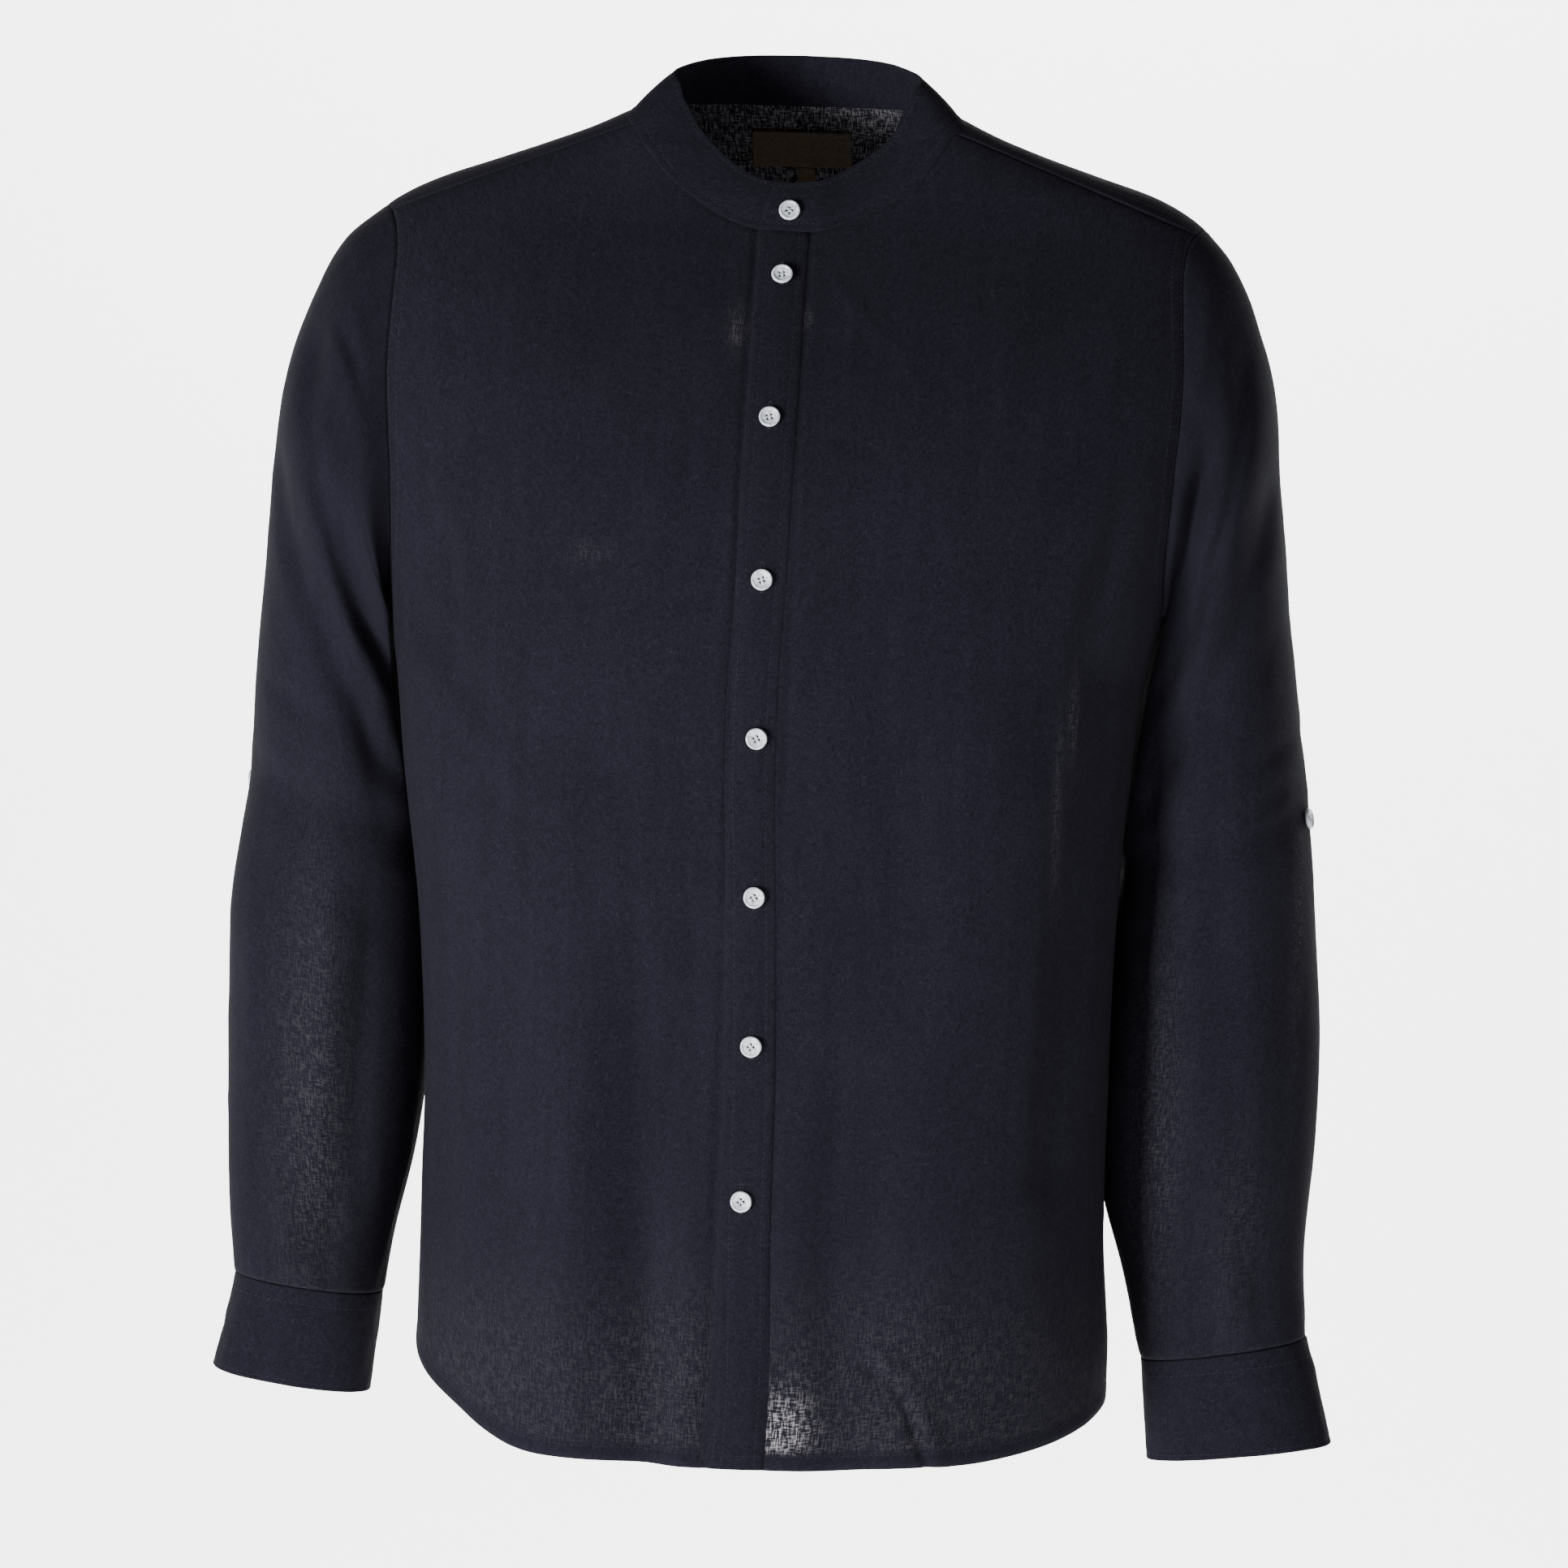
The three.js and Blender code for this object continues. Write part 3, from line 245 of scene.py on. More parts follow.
BACK_CREASES = table_of(
    "angle up to_angle to_up spread height",
    (118, -150, 140, -235, 9, -2.2), (112, -190, 138, -300, 9, -2.4), (116, -170, 140, -262, 6, 1.5),
    (-117, -146, -139, -228, 9, -2.1), (-112, -196, -137, -310, 9, -2.5), (-115, -172, -138, -268, 6, 1.4),
    (104, -290, 132, -380, 9, -1.8), (-104, -300, -130, -392, 9, -1.9), (162, -110, 158, -300, 11, -1.4),
    (-164, -110, -159, -320, 11, -1.4), (172, -120, 166, -420, 9, 1.2), (-173, -130, -168, -440, 9, 1.2),
    (160, -430, 156, -725, 10, -2), (-161, -450, -157, -725, 10, -2), (138, -500, 138, -725, 9, 1.8),
    (-137, -520, -136, -725, 9, 1.8), (118, -520, 120, -715, 8, -1.5), (-118, -540, -120, -715, 8, -1.5),
)


def distance_to_line(x, y, x1, y1, x2, y2):
    """How far points stand from a straight line, in millimetres on the cloth."""
    dx, dy = x2 - x1, y2 - y1
    t = np.clip(((x - x1) * dx + (y - y1) * dy) / (dx * dx + dy * dy), 0, 1)
    return np.hypot(x - x1 - t * dx, y - y1 - t * dy), t


def angle_across(across, height):
    """The angle at which the front reaches a distance across."""
    section = body_section(height)
    share = np.abs(across) / section["wide"]
    ahead = (section["front"] + section["mid"]) * np.maximum(1 - share**2.5, 1e-4) ** (1 / 2.5)
    return np.sign(across) * np.degrees(np.arctan2(np.abs(across), ahead))


for row in FRONT_CREASES:
    row["angle"] = float(angle_across(row["across"], row["up"]))
    row["to_angle"] = float(angle_across(row["to_across"], row["to_up"]))


def folds(rows, angle, height, per_degree, tapered=False):
    """The height of all folds of a table at each place on the cloth."""
    total = np.zeros(np.broadcast(angle, height).shape)
    for f in rows:
        middle = (f["angle"] + f["to_angle"]) / 2
        near = middle + wrapped(angle - middle)
        start, end = f["angle"] * per_degree, f["to_angle"] * per_degree
        away, t = distance_to_line(near * per_degree, height, start, f["up"], end, f["to_up"])
        shape = bump(away, f["spread"])
        if tapered:
            shape = shape * np.sin(np.pi * np.clip(0.12 + 0.76 * t, 0, 1))
        total = total + f["height"] * shape
    return total


print("body folds:", len(BODY_FOLDS) + len(FRONT_CREASES) + len(BACK_CREASES))


# %% The body surface
def body(angle, height, fine=True):
    """Points on the outside of the body form, by angle round from the centre front and by height."""
    angle, height = np.broadcast_arrays(np.asarray(angle, float), np.asarray(height, float))
    section = body_section(height)
    around = wrapped(angle)
    sin, cos = np.sin(np.radians(around)), np.cos(np.radians(around))
    exponent = np.where(cos > 0, 2.5, 2.3)
    depth = np.where(cos > 0, section["front"] + section["mid"], section["back"] - section["mid"])
    radius = (power(sin / section["wide"], exponent) + power(cos / depth, exponent)) ** (-1 / exponent)
    pressed = section["hollow"] * bump(np.abs(around) - 103, 24)
    reach = radius - pressed + folds(BODY_FOLDS, around, height, MM_PER_DEGREE)
    if fine:
        reach = reach + folds(FRONT_CREASES, around, height, 2.5, tapered=True)
        reach = reach + folds(BACK_CREASES, around, height, 2.8, tapered=True)
        reach = reach + crumple(around * 2.7, height, seed=11)
        across = section["shift"] + reach * sin
        beside_fold = bump(across - OVER_EDGE(height)["across"] + 1.9, 2)
        beside_seam = bump(across - PLACKET_SEAM(height)["across"] - 1.4, 1.8)
        below_collar = bump(neck_up(around) - height - 1.2, 1.5)
        reach = reach - np.where(cos > 0, 1.1 * beside_fold + 0.7 * beside_seam, 0) - 0.8 * below_collar
    return points(section["shift"] + reach * sin, section["mid"] - reach * cos, height)


def facing(surface, a, b, step_a, step_b):
    """The outward direction of a surface of two numbers."""
    along_a = surface(a + step_a, b) - surface(a - step_a, b)
    along_b = surface(a, b + step_b) - surface(a, b - step_b)
    return unit(np.cross(along_a, along_b))


def body_facing(angle, height):
    return facing(body, angle, height, 0.4, 0.8)


# Lengths over the plain form, so that the weave keeps its size wherever the chart is stretched.
CHART_ANGLES = np.arange(-190, 551, 3.0)
CHART_UPS = np.arange(20, -764, -6.0)
plain = body(CHART_ANGLES[None, :], CHART_UPS[:, None], fine=False)
steps_round = np.linalg.norm(np.diff(plain, axis=1), axis=-1)
steps_down = np.linalg.norm(np.diff(plain, axis=0), axis=-1)
length_round = np.concatenate([np.zeros((len(CHART_UPS), 1)), np.cumsum(steps_round, 1)], 1)
length_down = np.concatenate([np.zeros((1, len(CHART_ANGLES))), np.cumsum(steps_down, 0)], 0)


def cloth_lengths(angle, height, centre):
    """Lengths along the cloth in millimetres, round from a centre line and down from the top."""

    def read(grid, a, h):
        col = np.clip((a - CHART_ANGLES[0]) / 3.0, 0, len(CHART_ANGLES) - 1.001)
        row = np.clip((CHART_UPS[0] - h) / 6.0, 0, len(CHART_UPS) - 1.001)
        c, r = col.astype(int), row.astype(int)
        low = mix(grid[r, c], grid[r, c + 1], col - c)
        high = mix(grid[r + 1, c], grid[r + 1, c + 1], col - c)
        return mix(low, high, row - r)

    angle, height = np.broadcast_arrays(np.asarray(angle, float), np.asarray(height, float))
    round_way = read(length_round, angle, height) - read(length_round, np.full_like(angle, centre), height)
    return round_way, -read(length_down, angle, height)


print("girth at the chest:", round(float(steps_round[int((20 + 200) / 6), :120].sum())), "mm")

# %% [markdown]
# ## Laying a piece of cloth
#
# A piece starts as Blender's own grid. Every vertex then moves to its place on the chart, and a Solidify
# modifier gives the sheet its thickness, inwards, so that the outer face stays where the solids have it.
# The sheet keeps two more things on its points: lengths along the cloth as a UV map, for the weave, and a
# number that says how much painted light from behind the cloth shows through it.

# %% Cloth piece helper
made = {}
SIDES = ((1, "left"), (-1, "right"))


def finish_mesh(bm, name):
    mesh = bpy.data.meshes.new(name)
    bm.to_mesh(mesh)
    bm.free()
    for polygon in mesh.polygons:
        polygon.use_smooth = True
    return mesh


def place_object(name, data):
    piece = bpy.data.objects.new(name, data)
    bpy.context.scene.collection.objects.link(piece)
    return piece


def find_surface(mesh_object):
    """A search tree of a piece's outer face, for sewing on it."""
    mesh = mesh_object.data
    corners = [v.co.copy() for v in mesh.vertices]
    return BVHTree.FromPolygons(corners, [p.vertices[:] for p in mesh.polygons])


def lay_cloth(name, columns, rows, chart, thickness, thin=None, closed=False):
    """chart(u, v) gives points and cloth lengths for u and v from 0 to 1. closed joins the two sides."""
    bm = bmesh.new()
    bmesh.ops.create_grid(bm, x_segments=columns, y_segments=rows, size=0.5)
    corners = np.array([v.co[:2] for v in bm.verts]) + 0.5
    u, v = corners[:, 0], corners[:, 1]
    place, across, along = chart(u, v)
    for vertex, xyz in zip(bm.verts, place * MM):
        vertex.co = xyz
    mesh = finish_mesh(bm, name)
    lengths = np.stack([across, along], 1) * MM
    owner = np.empty(len(mesh.loops), int)
    mesh.loops.foreach_get("vertex_index", owner)
    layer = mesh.uv_layers.new(name="cloth")
    layer.data.foreach_set("uv", lengths[owner].astype(np.float32).ravel())
    # Painted light: how much of the light behind the cloth is painted into its colour at each point.
    light = mesh.attributes.new("thin", "FLOAT", "POINT")
    value = np.zeros(len(mesh.vertices)) if thin is None else thin(u, v)
    light.data.foreach_set("value", value.astype(np.float32))
    if closed:
        bm = bmesh.new()
        bm.from_mesh(mesh)
        bmesh.ops.remove_doubles(bm, verts=bm.verts, dist=1e-5)
        bm.to_mesh(mesh)
        bm.free()
    piece = place_object(name, mesh)
    wall = piece.modifiers.new("thickness", "SOLIDIFY")
    wall.thickness = thickness * MM
    wall.offset = -1
    wall.use_even_offset = False
    made[name] = piece
    return piece


def edge_drop(u, v, columns, rows, depth=0.14):
    """How far the cloth turns under at its cut edges, which makes each seam a small groove."""
    near = np.minimum(np.minimum(u, 1 - u) * columns, np.minimum(v, 1 - v) * rows)
    return -depth * bump(near, 0.7)


# %% [markdown]
# ## Fronts
#
# A front is a four-sided sheet between the centre, the side seam, armhole and shoulder seam, the hem and
# the neckline. Filling in between four edges, as a Coons patch does, keeps every edge exactly where its
# neighbour expects it.

# %% Edges of the panels
ARMPIT, SHOULDER_TIP = -271, -57
FRONT_SEAM_TURN, BACK_SEAM_TURN = 13, 310.2 - 360
YOKE_SEAM = -95
SIDE_HEM, FRONT_TAIL, BACK_TAIL, HEM_TILT, HEM_RISE = -682, 42, 52, 10, 5
SIDE_GAP, SHOULDER_GAP, UNDER_YOKE = 0.06, 0.15, 0.45
HEM_FOLD = 8.5
OVER_EDGE, UNDER_EDGE, PLACKET_SEAM, UNDER_END = (
    curves(table_of("up across", *rows), "up")
    for rows in (
        ((-40, -15), (-300, -15.5), (-600, -15.5), (-760, -17)),
        ((-40, -12.5), (-480, -12.5), (-620, -18), (-760, -26)),
        ((-40, 12), (-300, 12), (-600, 12), (-760, 11)),
        ((-40, 6), (-300, 7), (-600, 6), (-760, 0)),
    )
)


def armhole(side, turn):
    """The armhole on the chart: turn 0 is the shoulder tip, 90 the front, 180 the armpit, 270 the back."""
    sin, cos = np.sin(np.radians(turn)), np.cos(np.radians(turn))
    bite = np.where(sin > 0, -17, 18)
    height = (SHOULDER_TIP + ARMPIT) / 2 + (SHOULDER_TIP - ARMPIT) / 2 * cos
    return side * (90 + bite * np.abs(sin) ** 0.6 * (1 - 0.25 * cos)), height


def hem_up(angle):
    around = np.abs(wrapped(angle))
    tail = np.where(around < 90, FRONT_TAIL, BACK_TAIL)
    middle = np.where(around < 90, around / 90, (180 - around) / 90)
    curve = 0.12 * middle**2 + 0.88 * ease((middle - 0.45) / 0.55)
    risen = HEM_RISE * bump(wrapped(angle) - 46, 18)
    return SIDE_HEM - tail * (1 - curve) - HEM_TILT * np.sin(np.radians(angle)) ** 5 + risen


def shoulder_seam(side, t):
    """The front shoulder seam, straight from the armhole to the neckline."""
    start_angle, start_up = armhole(side, FRONT_SEAM_TURN)
    start = body(start_angle, start_up, fine=False)
    end = body(side * 76.0, neckline_up(76)["up"], fine=False)
    x, height = mix(start[0], end[0], t), mix(start[2], end[2], t)
    return angle_across(x - body_section(height)["shift"], height), height


def moved(place, turn):
    """A place on the chart, turned further round."""
    return place[0] + turn, place[1]


def neck_up(angle):
    return neckline_up(np.abs(wrapped(angle)))["up"]


def coons(left, right, bottom, top, u, v):
    """Blends four edges, each a function that gives angle and height, into one sheet on the chart."""
    zero, one = np.zeros_like(u), np.ones_like(u)
    found = []
    for k in (0, 1):
        l, r, b, t = left(v)[k], right(v)[k], bottom(u)[k], top(u)[k]
        corners = mix(mix(left(zero)[k], right(zero)[k], u), mix(left(one)[k], right(one)[k], u), v)
        found.append(mix(l, r, u) + mix(b, t, v) - corners)
    return found


def by_stretches(v, ends, parts):
    """One edge made of several stretches: ends are where each stops, parts the functions that draw them."""
    out = None
    start = 0
    for end, part in zip(ends, parts):
        t = np.clip((v - start) / (end - start), 0, 1)
        value = part(t)
        if out is None:
            out = [np.array(x, float) + np.zeros_like(v) for x in value]
        else:
            for k in (0, 1):
                out[k] = np.where(v > start, value[k], out[k])
        start = end
    return out


SIDE_SHARE, HOLE_SHARE = 11 / 28, 21 / 28
CENTRE_BY_ARMPIT, CENTRE_BY_SHOULDER = -285, -118


def down_the_front(table, shift):
    """An edge beside the placket, from the hem to the neckline."""
    top = float(neck_up(angle_across(table(-64)["across"] + shift, -64)))
    bottom = float(hem_up(0))

    def edge(v):
        height = by_stretches(
            v,
            (SIDE_SHARE, HOLE_SHARE, 1),
            (
                lambda t: (mix(bottom, CENTRE_BY_ARMPIT, t),) * 2,
                lambda t: (mix(CENTRE_BY_ARMPIT, CENTRE_BY_SHOULDER, t),) * 2,
                lambda t: (mix(CENTRE_BY_SHOULDER, top, t),) * 2,
            ),
        )[0]
        return angle_across(table(height)["across"] + shift, height), height

    return edge


def along_hem(start, end):
    def edge(u):
        angle = mix(start, end, u)
        return angle, hem_up(angle)

    return edge


def along_neck(start, end):
    def edge(u):
        angle = mix(start, end, u)
        return angle, neck_up(angle)

    return edge


def hem_distance(angle, height):
    """Distance on the cloth from the hem's edge."""
    slope = (hem_up(angle + 0.5) - hem_up(angle - 0.5)) / MM_PER_DEGREE
    return (height - hem_up(angle)) / np.sqrt(1 + slope**2)


def hem_relief(angle, height):
    """The doubled hem stands a little proud, with a dimple where its stitches pull."""
    away = hem_distance(angle, height)
    band = 0.42 * (1 - ease((away - HEM_FOLD) / 2.2))
    return band - 0.2 * bump(away - HEM_FOLD + 1, 1.2)


print("hem at the centre front:", round(float(hem_up(0))), "mm")

# %% Fronts
FRONT_COLUMNS, FRONT_ROWS = 116, 290


def front_chart(side, table, shift):
    def outer(v):
        seam_angle = side * (90 - SIDE_GAP)
        bottom = float(hem_up(seam_angle))
        return by_stretches(
            v,
            (SIDE_SHARE, HOLE_SHARE, 1),
            (
                lambda t: (np.full_like(t, seam_angle), mix(bottom, ARMPIT, t)),
                lambda t: armhole(side, mix(180, FRONT_SEAM_TURN, t)),
                lambda t: moved(shoulder_seam(side, t), side * UNDER_YOKE),
            ),
        )

    inner = down_the_front(table, shift)
    zero, one = np.zeros(1), np.ones(1)
    hem = along_hem(float(inner(zero)[0][0]), float(outer(zero)[0][0]))
    neck = along_neck(float(inner(one)[0][0]), float(outer(one)[0][0]))

    def chart(u, v):
        across = u if side > 0 else 1 - u
        angle, height = coons(inner, outer, hem, neck, across, v)
        lift = edge_drop(u, v, FRONT_COLUMNS, FRONT_ROWS) + hem_relief(angle, height)
        under_yoke = np.where(v > HOLE_SHARE, bump((1 - across) * FRONT_COLUMNS, 0.8), 0)
        place = body(angle, height) + body_facing(angle, height) * (lift - 0.9 * under_yoke)[:, None]
        return (place, *cloth_lengths(angle, height, 0))

    return chart


HEM_GLOW = 0.034


def light_through(spots, columns_chart, at_hem=False):
    """Where light from behind the cloth is painted in, as if the open weave let it through: soft patches, and
    all along the tail above its doubled hem.
    """

    def thin(u, v):
        place, across, along = columns_chart(u, v)
        hem_glow = HEM_GLOW * ease((-596 - place[:, 2]) / 90)
        total = np.where(place[:, 2] < -596, hem_glow, 0.0) if at_hem else np.zeros(len(u))
        for s in spots:
            dx = (place[:, 0] - s["across"]) / s["wide"]
            dz = (place[:, 2] - s["up"]) / s["tall"]
            total += s["much"] * np.exp(-(dx**2) - dz**2)
        if at_hem:
            section = body_section(place[:, 2])
            angle = np.degrees(np.arctan2(place[:, 0] - section["shift"], section["mid"] - place[:, 1]))
            total = total * ease((hem_distance(angle, place[:, 2]) - HEM_FOLD) / 1.5)
        return np.clip(total, 0, 1)

    return thin


# Patches of painted light, where the light behind the cloth is shown through the front.
LIGHT_SPOTS_FRONT = table_of(
    "across up wide tall much",
    (24, -701, 12, 17, 0.6), (17, -705, 8, 14, 0.3), (-35, -655, 24, 60, 0.012), (-60, -690, 12, 40, 0.015),
    (90, -650, 60, 48, 0.015), (60, -715, 80, 16, 0.02), (-23.5, -118, 5, 10, 0.09),
    (13.5, -112, 3, 5, 0.07), (-96, -239, 12, 6, 0.04), (163, -320, 2.2, 22, 0.1),
    (156, -372, 2.2, 44, 0.08),
)

for (side, word), edge, shift in zip(SIDES, (PLACKET_SEAM, UNDER_EDGE), (-2.5, 1.5)):
    chart = front_chart(side, edge, shift)
    glow = light_through(LIGHT_SPOTS_FRONT, chart, at_hem=True)
    lay_cloth(f"cloth_front_{word}", FRONT_COLUMNS, FRONT_ROWS, chart, 0.8, thin=glow)
print("front polygons:", len(made["cloth_front_left"].data.polygons))

# %% [markdown]
# ## Back and yoke
#
# The back hangs from a yoke that reaches forward over the shoulders, so its seams show on the front.

# %% Back and yoke
BACK_COLUMNS, BACK_ROWS = 150, 230


def back_chart(u, v):
    def edge(side, extra):
        angle = side * (90 + SIDE_GAP)
        bottom = float(hem_up(angle))
        share = 11 / 20

        def draw(v):
            parts = by_stretches(
                v,
                (share, 1),
                (
                    lambda t: (np.full_like(t, angle), mix(bottom, ARMPIT, t)),
                    lambda t: armhole(side, mix(180, 360 + BACK_SEAM_TURN, t)),
                ),
            )
            last = np.clip((v - 0.97) / 0.03, 0, 1)
            return parts[0] + extra, parts[1] + last * (YOKE_SEAM - 0.15 - armhole(side, BACK_SEAM_TURN)[1])

        return draw

    left, right_edge = edge(1, 0), edge(-1, 360)
    zero, one = np.zeros(1), np.ones(1)
    hem = along_hem(float(left(zero)[0][0]), float(right_edge(zero)[0][0]))
    first, last = float(left(one)[0][0]), float(right_edge(one)[0][0])
    top = lambda u: (mix(first, last, u), np.full_like(u, YOKE_SEAM - 0.15))
    angle, height = coons(left, right_edge, hem, top, u, v)
    lift = edge_drop(u, v, BACK_COLUMNS, BACK_ROWS) + hem_relief(angle, height)
    place = body(angle, height) + body_facing(angle, height) * lift[:, None]
    return (place, *cloth_lengths(angle, height, 180))


YOKE_COLUMNS, YOKE_ROWS = 220, 60


def yoke_chart(u, v):
    hole_share = 5 / 32

    def outer(u):
        return by_stretches(
            u,
            (hole_share, 1 - hole_share, 1),
            (
                lambda t: armhole(1, mix(FRONT_SEAM_TURN, BACK_SEAM_TURN, t)),
                lambda t: (
                    mix(float(armhole(1, BACK_SEAM_TURN)[0]), 360 + float(armhole(-1, BACK_SEAM_TURN)[0]), t),
                    np.full_like(t, YOKE_SEAM + 0.15),
                ),
                lambda t: moved(armhole(-1, mix(BACK_SEAM_TURN, FRONT_SEAM_TURN, t)), 360),
            ),
        )

    left = lambda v: moved(shoulder_seam(1, v), SHOULDER_GAP)
    right_seam = lambda v: moved(shoulder_seam(-1, v), 360 - SHOULDER_GAP)
    neck = along_neck(76 + SHOULDER_GAP, 284 - SHOULDER_GAP)
    angle, height = coons(left, right_seam, outer, neck, u, v)
    lift = edge_drop(u, v, YOKE_COLUMNS, YOKE_ROWS)
    place = body(angle, height) + body_facing(angle, height) * lift[:, None]
    return (place, *cloth_lengths(angle, height, 180))


# Painted light seen through the inside of the back yoke, by the neck.
def yoke_painted_backlight(u, v):
    place = yoke_chart(u, v)[0]
    return np.where(place[:, 1] > 20, 0.5, 0) * bump(place[:, 0], 75)


back = lay_cloth("cloth_back", BACK_COLUMNS, BACK_ROWS, back_chart, 0.8)
yoke = lay_cloth("cloth_yoke", YOKE_COLUMNS, YOKE_ROWS, yoke_chart, 0.8, thin=yoke_painted_backlight)
print("back and yoke polygons:", len(back.data.polygons), len(yoke.data.polygons))

# %% [markdown]
# ## Plackets
#
# The wearer's left placket lies over the right one. It stands off it by two layers of cloth, and its free
# edge is a fold, so a small bevel rounds it.


# %% Plackets
def placket_chart(start_table, end_table, lowered, lifts, columns, rows):
    def edge(table):
        top = float(neck_up(angle_across(table(-64)["across"], -64))) - lowered
        bottom = float(hem_up(0))

        def draw(v):
            height = mix(bottom, top, v)
            return angle_across(table(height)["across"], height), height

        return draw

    left, right_edge = edge(start_table), edge(end_table)

    def chart(u, v):
        first, last = left(v), right_edge(v)
        angle, height = mix(first[0], last[0], u), mix(first[1], last[1], u)
        lift = np.interp(u, np.linspace(0, 1, len(lifts)), lifts)
        width = 27 * np.minimum(u, 1 - u)
        lift = lift - 0.4 * bump(width - 5.2, 0.9)
        lift = lift + 0.12 * soft_noise(v * 660, width * 0 + 3, 9, 31) * bump(width - 5.2, 3)
        lift = lift + hem_relief(angle, height) + edge_drop(u, v, columns, rows, 0.2)
        place = body(angle, height) + body_facing(angle, height) * lift[:, None]
        return (place, *cloth_lengths(angle, height, 0))

    return chart


def rounded(piece, width=0.5):
    edge = piece.modifiers.new("folded edges", "BEVEL")
    edge.limit_method = "ANGLE"
    edge.angle_limit = math.radians(60)
    edge.width = width * MM
    edge.segments = 2
    return piece


over_chart = placket_chart(OVER_EDGE, PLACKET_SEAM, 1.8, [1.9, 2.2, 2.2, 2.0, 1.3, 0.3], 18, 300)
under_chart = placket_chart(UNDER_EDGE, UNDER_END, 0, [0.3, 0.1], 12, 300)
placket_over = rounded(lay_cloth("cloth_placket_over", 18, 300, over_chart, 1.2))
glow = light_through(LIGHT_SPOTS_FRONT, under_chart)
lay_cloth("cloth_placket_under", 12, 300, under_chart, 0.8, thin=glow)
print("placket polygons:", len(placket_over.data.polygons))

# %% [markdown]
# ## Collar band
#
# The band is a doubled, stiffened strip that stands on the neckline and leans in. It laps over itself at
# the front under the top button. A bevel turns the square rim of the wall into a soft fold.

# %% Collar band
BAND = 1.9
COLLAR = table_of(
    "angle lean rise",
    (0, 11, 24.5), (40, 14, 25), (75, 23, 23.5), (100, 25, 22.5), (140, 13, 24.5), (180, 6, 25.5),
)
COLLAR_LAP = BAND + 0.5
collar_shape = curves(COLLAR, "angle")


def collar_point(angle, share, out):
    around = np.abs(wrapped(angle))
    base = body(angle, neck_up(angle), fine=False)
    shape = collar_shape(around)
    inward = unit(points(-base[..., 0], -base[..., 1] + 4, 0 * base[..., 0]))
    bow = np.sin(np.pi * share) * 1.2
    shifted = base + inward * (shape["lean"] * share - bow - out + 0.6)[..., None]
    shifted[..., 2] += 0.3 + shape["rise"] * share + 0.4
    return shifted


def grid_lengths(place, columns, rows, centre=0.5):
    """Lengths along a strip measured on its own points, from the middle column and the bottom row."""
    grid = place.reshape(rows + 1, columns + 1, 3)
    across = np.linalg.norm(np.diff(grid, axis=1), axis=-1)
    across = np.concatenate([np.zeros((rows + 1, 1)), np.cumsum(across, 1)], 1)
    middle = int(centre * columns)
    across = across - across[:, middle : middle + 1]
    along = np.linalg.norm(np.diff(grid[:, middle], axis=0), axis=-1)
    along = np.concatenate([[0], np.cumsum(along)])
    return across.ravel(), np.repeat(along, columns + 1)


COLLAR_COLUMNS, COLLAR_ROWS = 300, 22


def collar_chart(u, v):
    angle = mix(-14.5 + 5 * v**1.5, 372 - 3 * v**1.5, u)
    lap = COLLAR_LAP * (1 - ease((angle - 14) / 20))
    wave = 0.25 * soft_noise(u * 430, v * 25, 22, 41) + 0.15 * soft_noise(u * 430, v * 25, 9, 42)
    height = v * 25
    ditch = 0.38 * bump(height - 2.2, 0.8) - 0.5 * bump(height - 0.4, 1.4) + 0.3 * bump(22.4 - height, 0.8)
    return collar_point(angle, v - 0.09 * (1 - ease(v / 0.08)), lap + wave - ditch), None, None


def strip(name, columns, rows, chart, thickness, **rest):
    """A strip of cloth whose lengths are measured on its own points."""

    def measured(u, v):
        place = chart(u, v)[0]
        return (place, *grid_lengths(place, columns, rows))

    return lay_cloth(name, columns, rows, measured, thickness, **rest)


collar = rounded(strip("cloth_collar_band", COLLAR_COLUMNS, COLLAR_ROWS, collar_chart, BAND), 0.7)
print("collar band length:", round(float(collar.dimensions.x * 1000)), "mm across")

# %% [markdown]
# ## Sleeves
#
# Each sleeve is a tube through a table of rings. At the top it takes the armhole's own shape, and lower
# down the rings take over. Folds at the front are placed across and up, as they are seen, and the back gets
# its own.

# %% Sleeve tables
LEFT_RINGS = table_of(
    "along out_across out_up in_across in_up mid deep",
    (0, 225, -57, 204, -271, 0, 72), (26, 240, -75, 206, -275, 0, 76), (60, 254.5, -106, 202, -283, 1, 77),
    (100, 265, -145, 198, -294, 3, 77), (150, 269.5, -195, 193, -310, 8, 75),
    (205, 275.5, -250, 189, -332, 12, 72), (270, 283.5, -314, 185, -366, 16, 68),
    (335, 292.5, -379, 186, -412, 18, 64), (395, 297.5, -438, 184, -462, 18, 60),
    (455, 302, -498, 181, -518, 15, 55), (515, 301, -558, 184, -577, 10, 49),
    (570, 297.5, -613, 198, -629, 4, 42), (620, 300, -659.4, 210, -674.4, -2, 36),
)
RIGHT_RINGS = table_of(
    "along out_across out_up in_across in_up mid deep",
    (0, 225, -57, 204, -271, 0, 72), (26, 247, -76, 206, -275, 0, 76), (60, 263, -106, 205, -283, 1, 77),
    (100, 275.5, -144, 202, -294, 3, 76), (150, 282, -193, 198, -310, 8, 74),
    (205, 285.5, -248, 194, -331, 12, 70), (270, 290, -313, 190, -365, 15, 66),
    (335, 293, -378, 188, -411, 16, 61), (395, 300.5, -437, 187, -461, 14, 58),
    (455, 300, -497, 188, -517, 9, 54), (515, 298, -557, 194, -574, 3, 49),
    (565, 295, -607, 203.5, -621, -4, 44), (608, 290.5, -644.4, 208, -653.4, -10, 41),
)
LEFT_CUFF = table_of(
    "share out_across out_up in_across in_up mid deep",
    (0, 301, -660, 210, -675, -2, 34), (1, 316, -716.5, 215, -729, -10, 29),
)
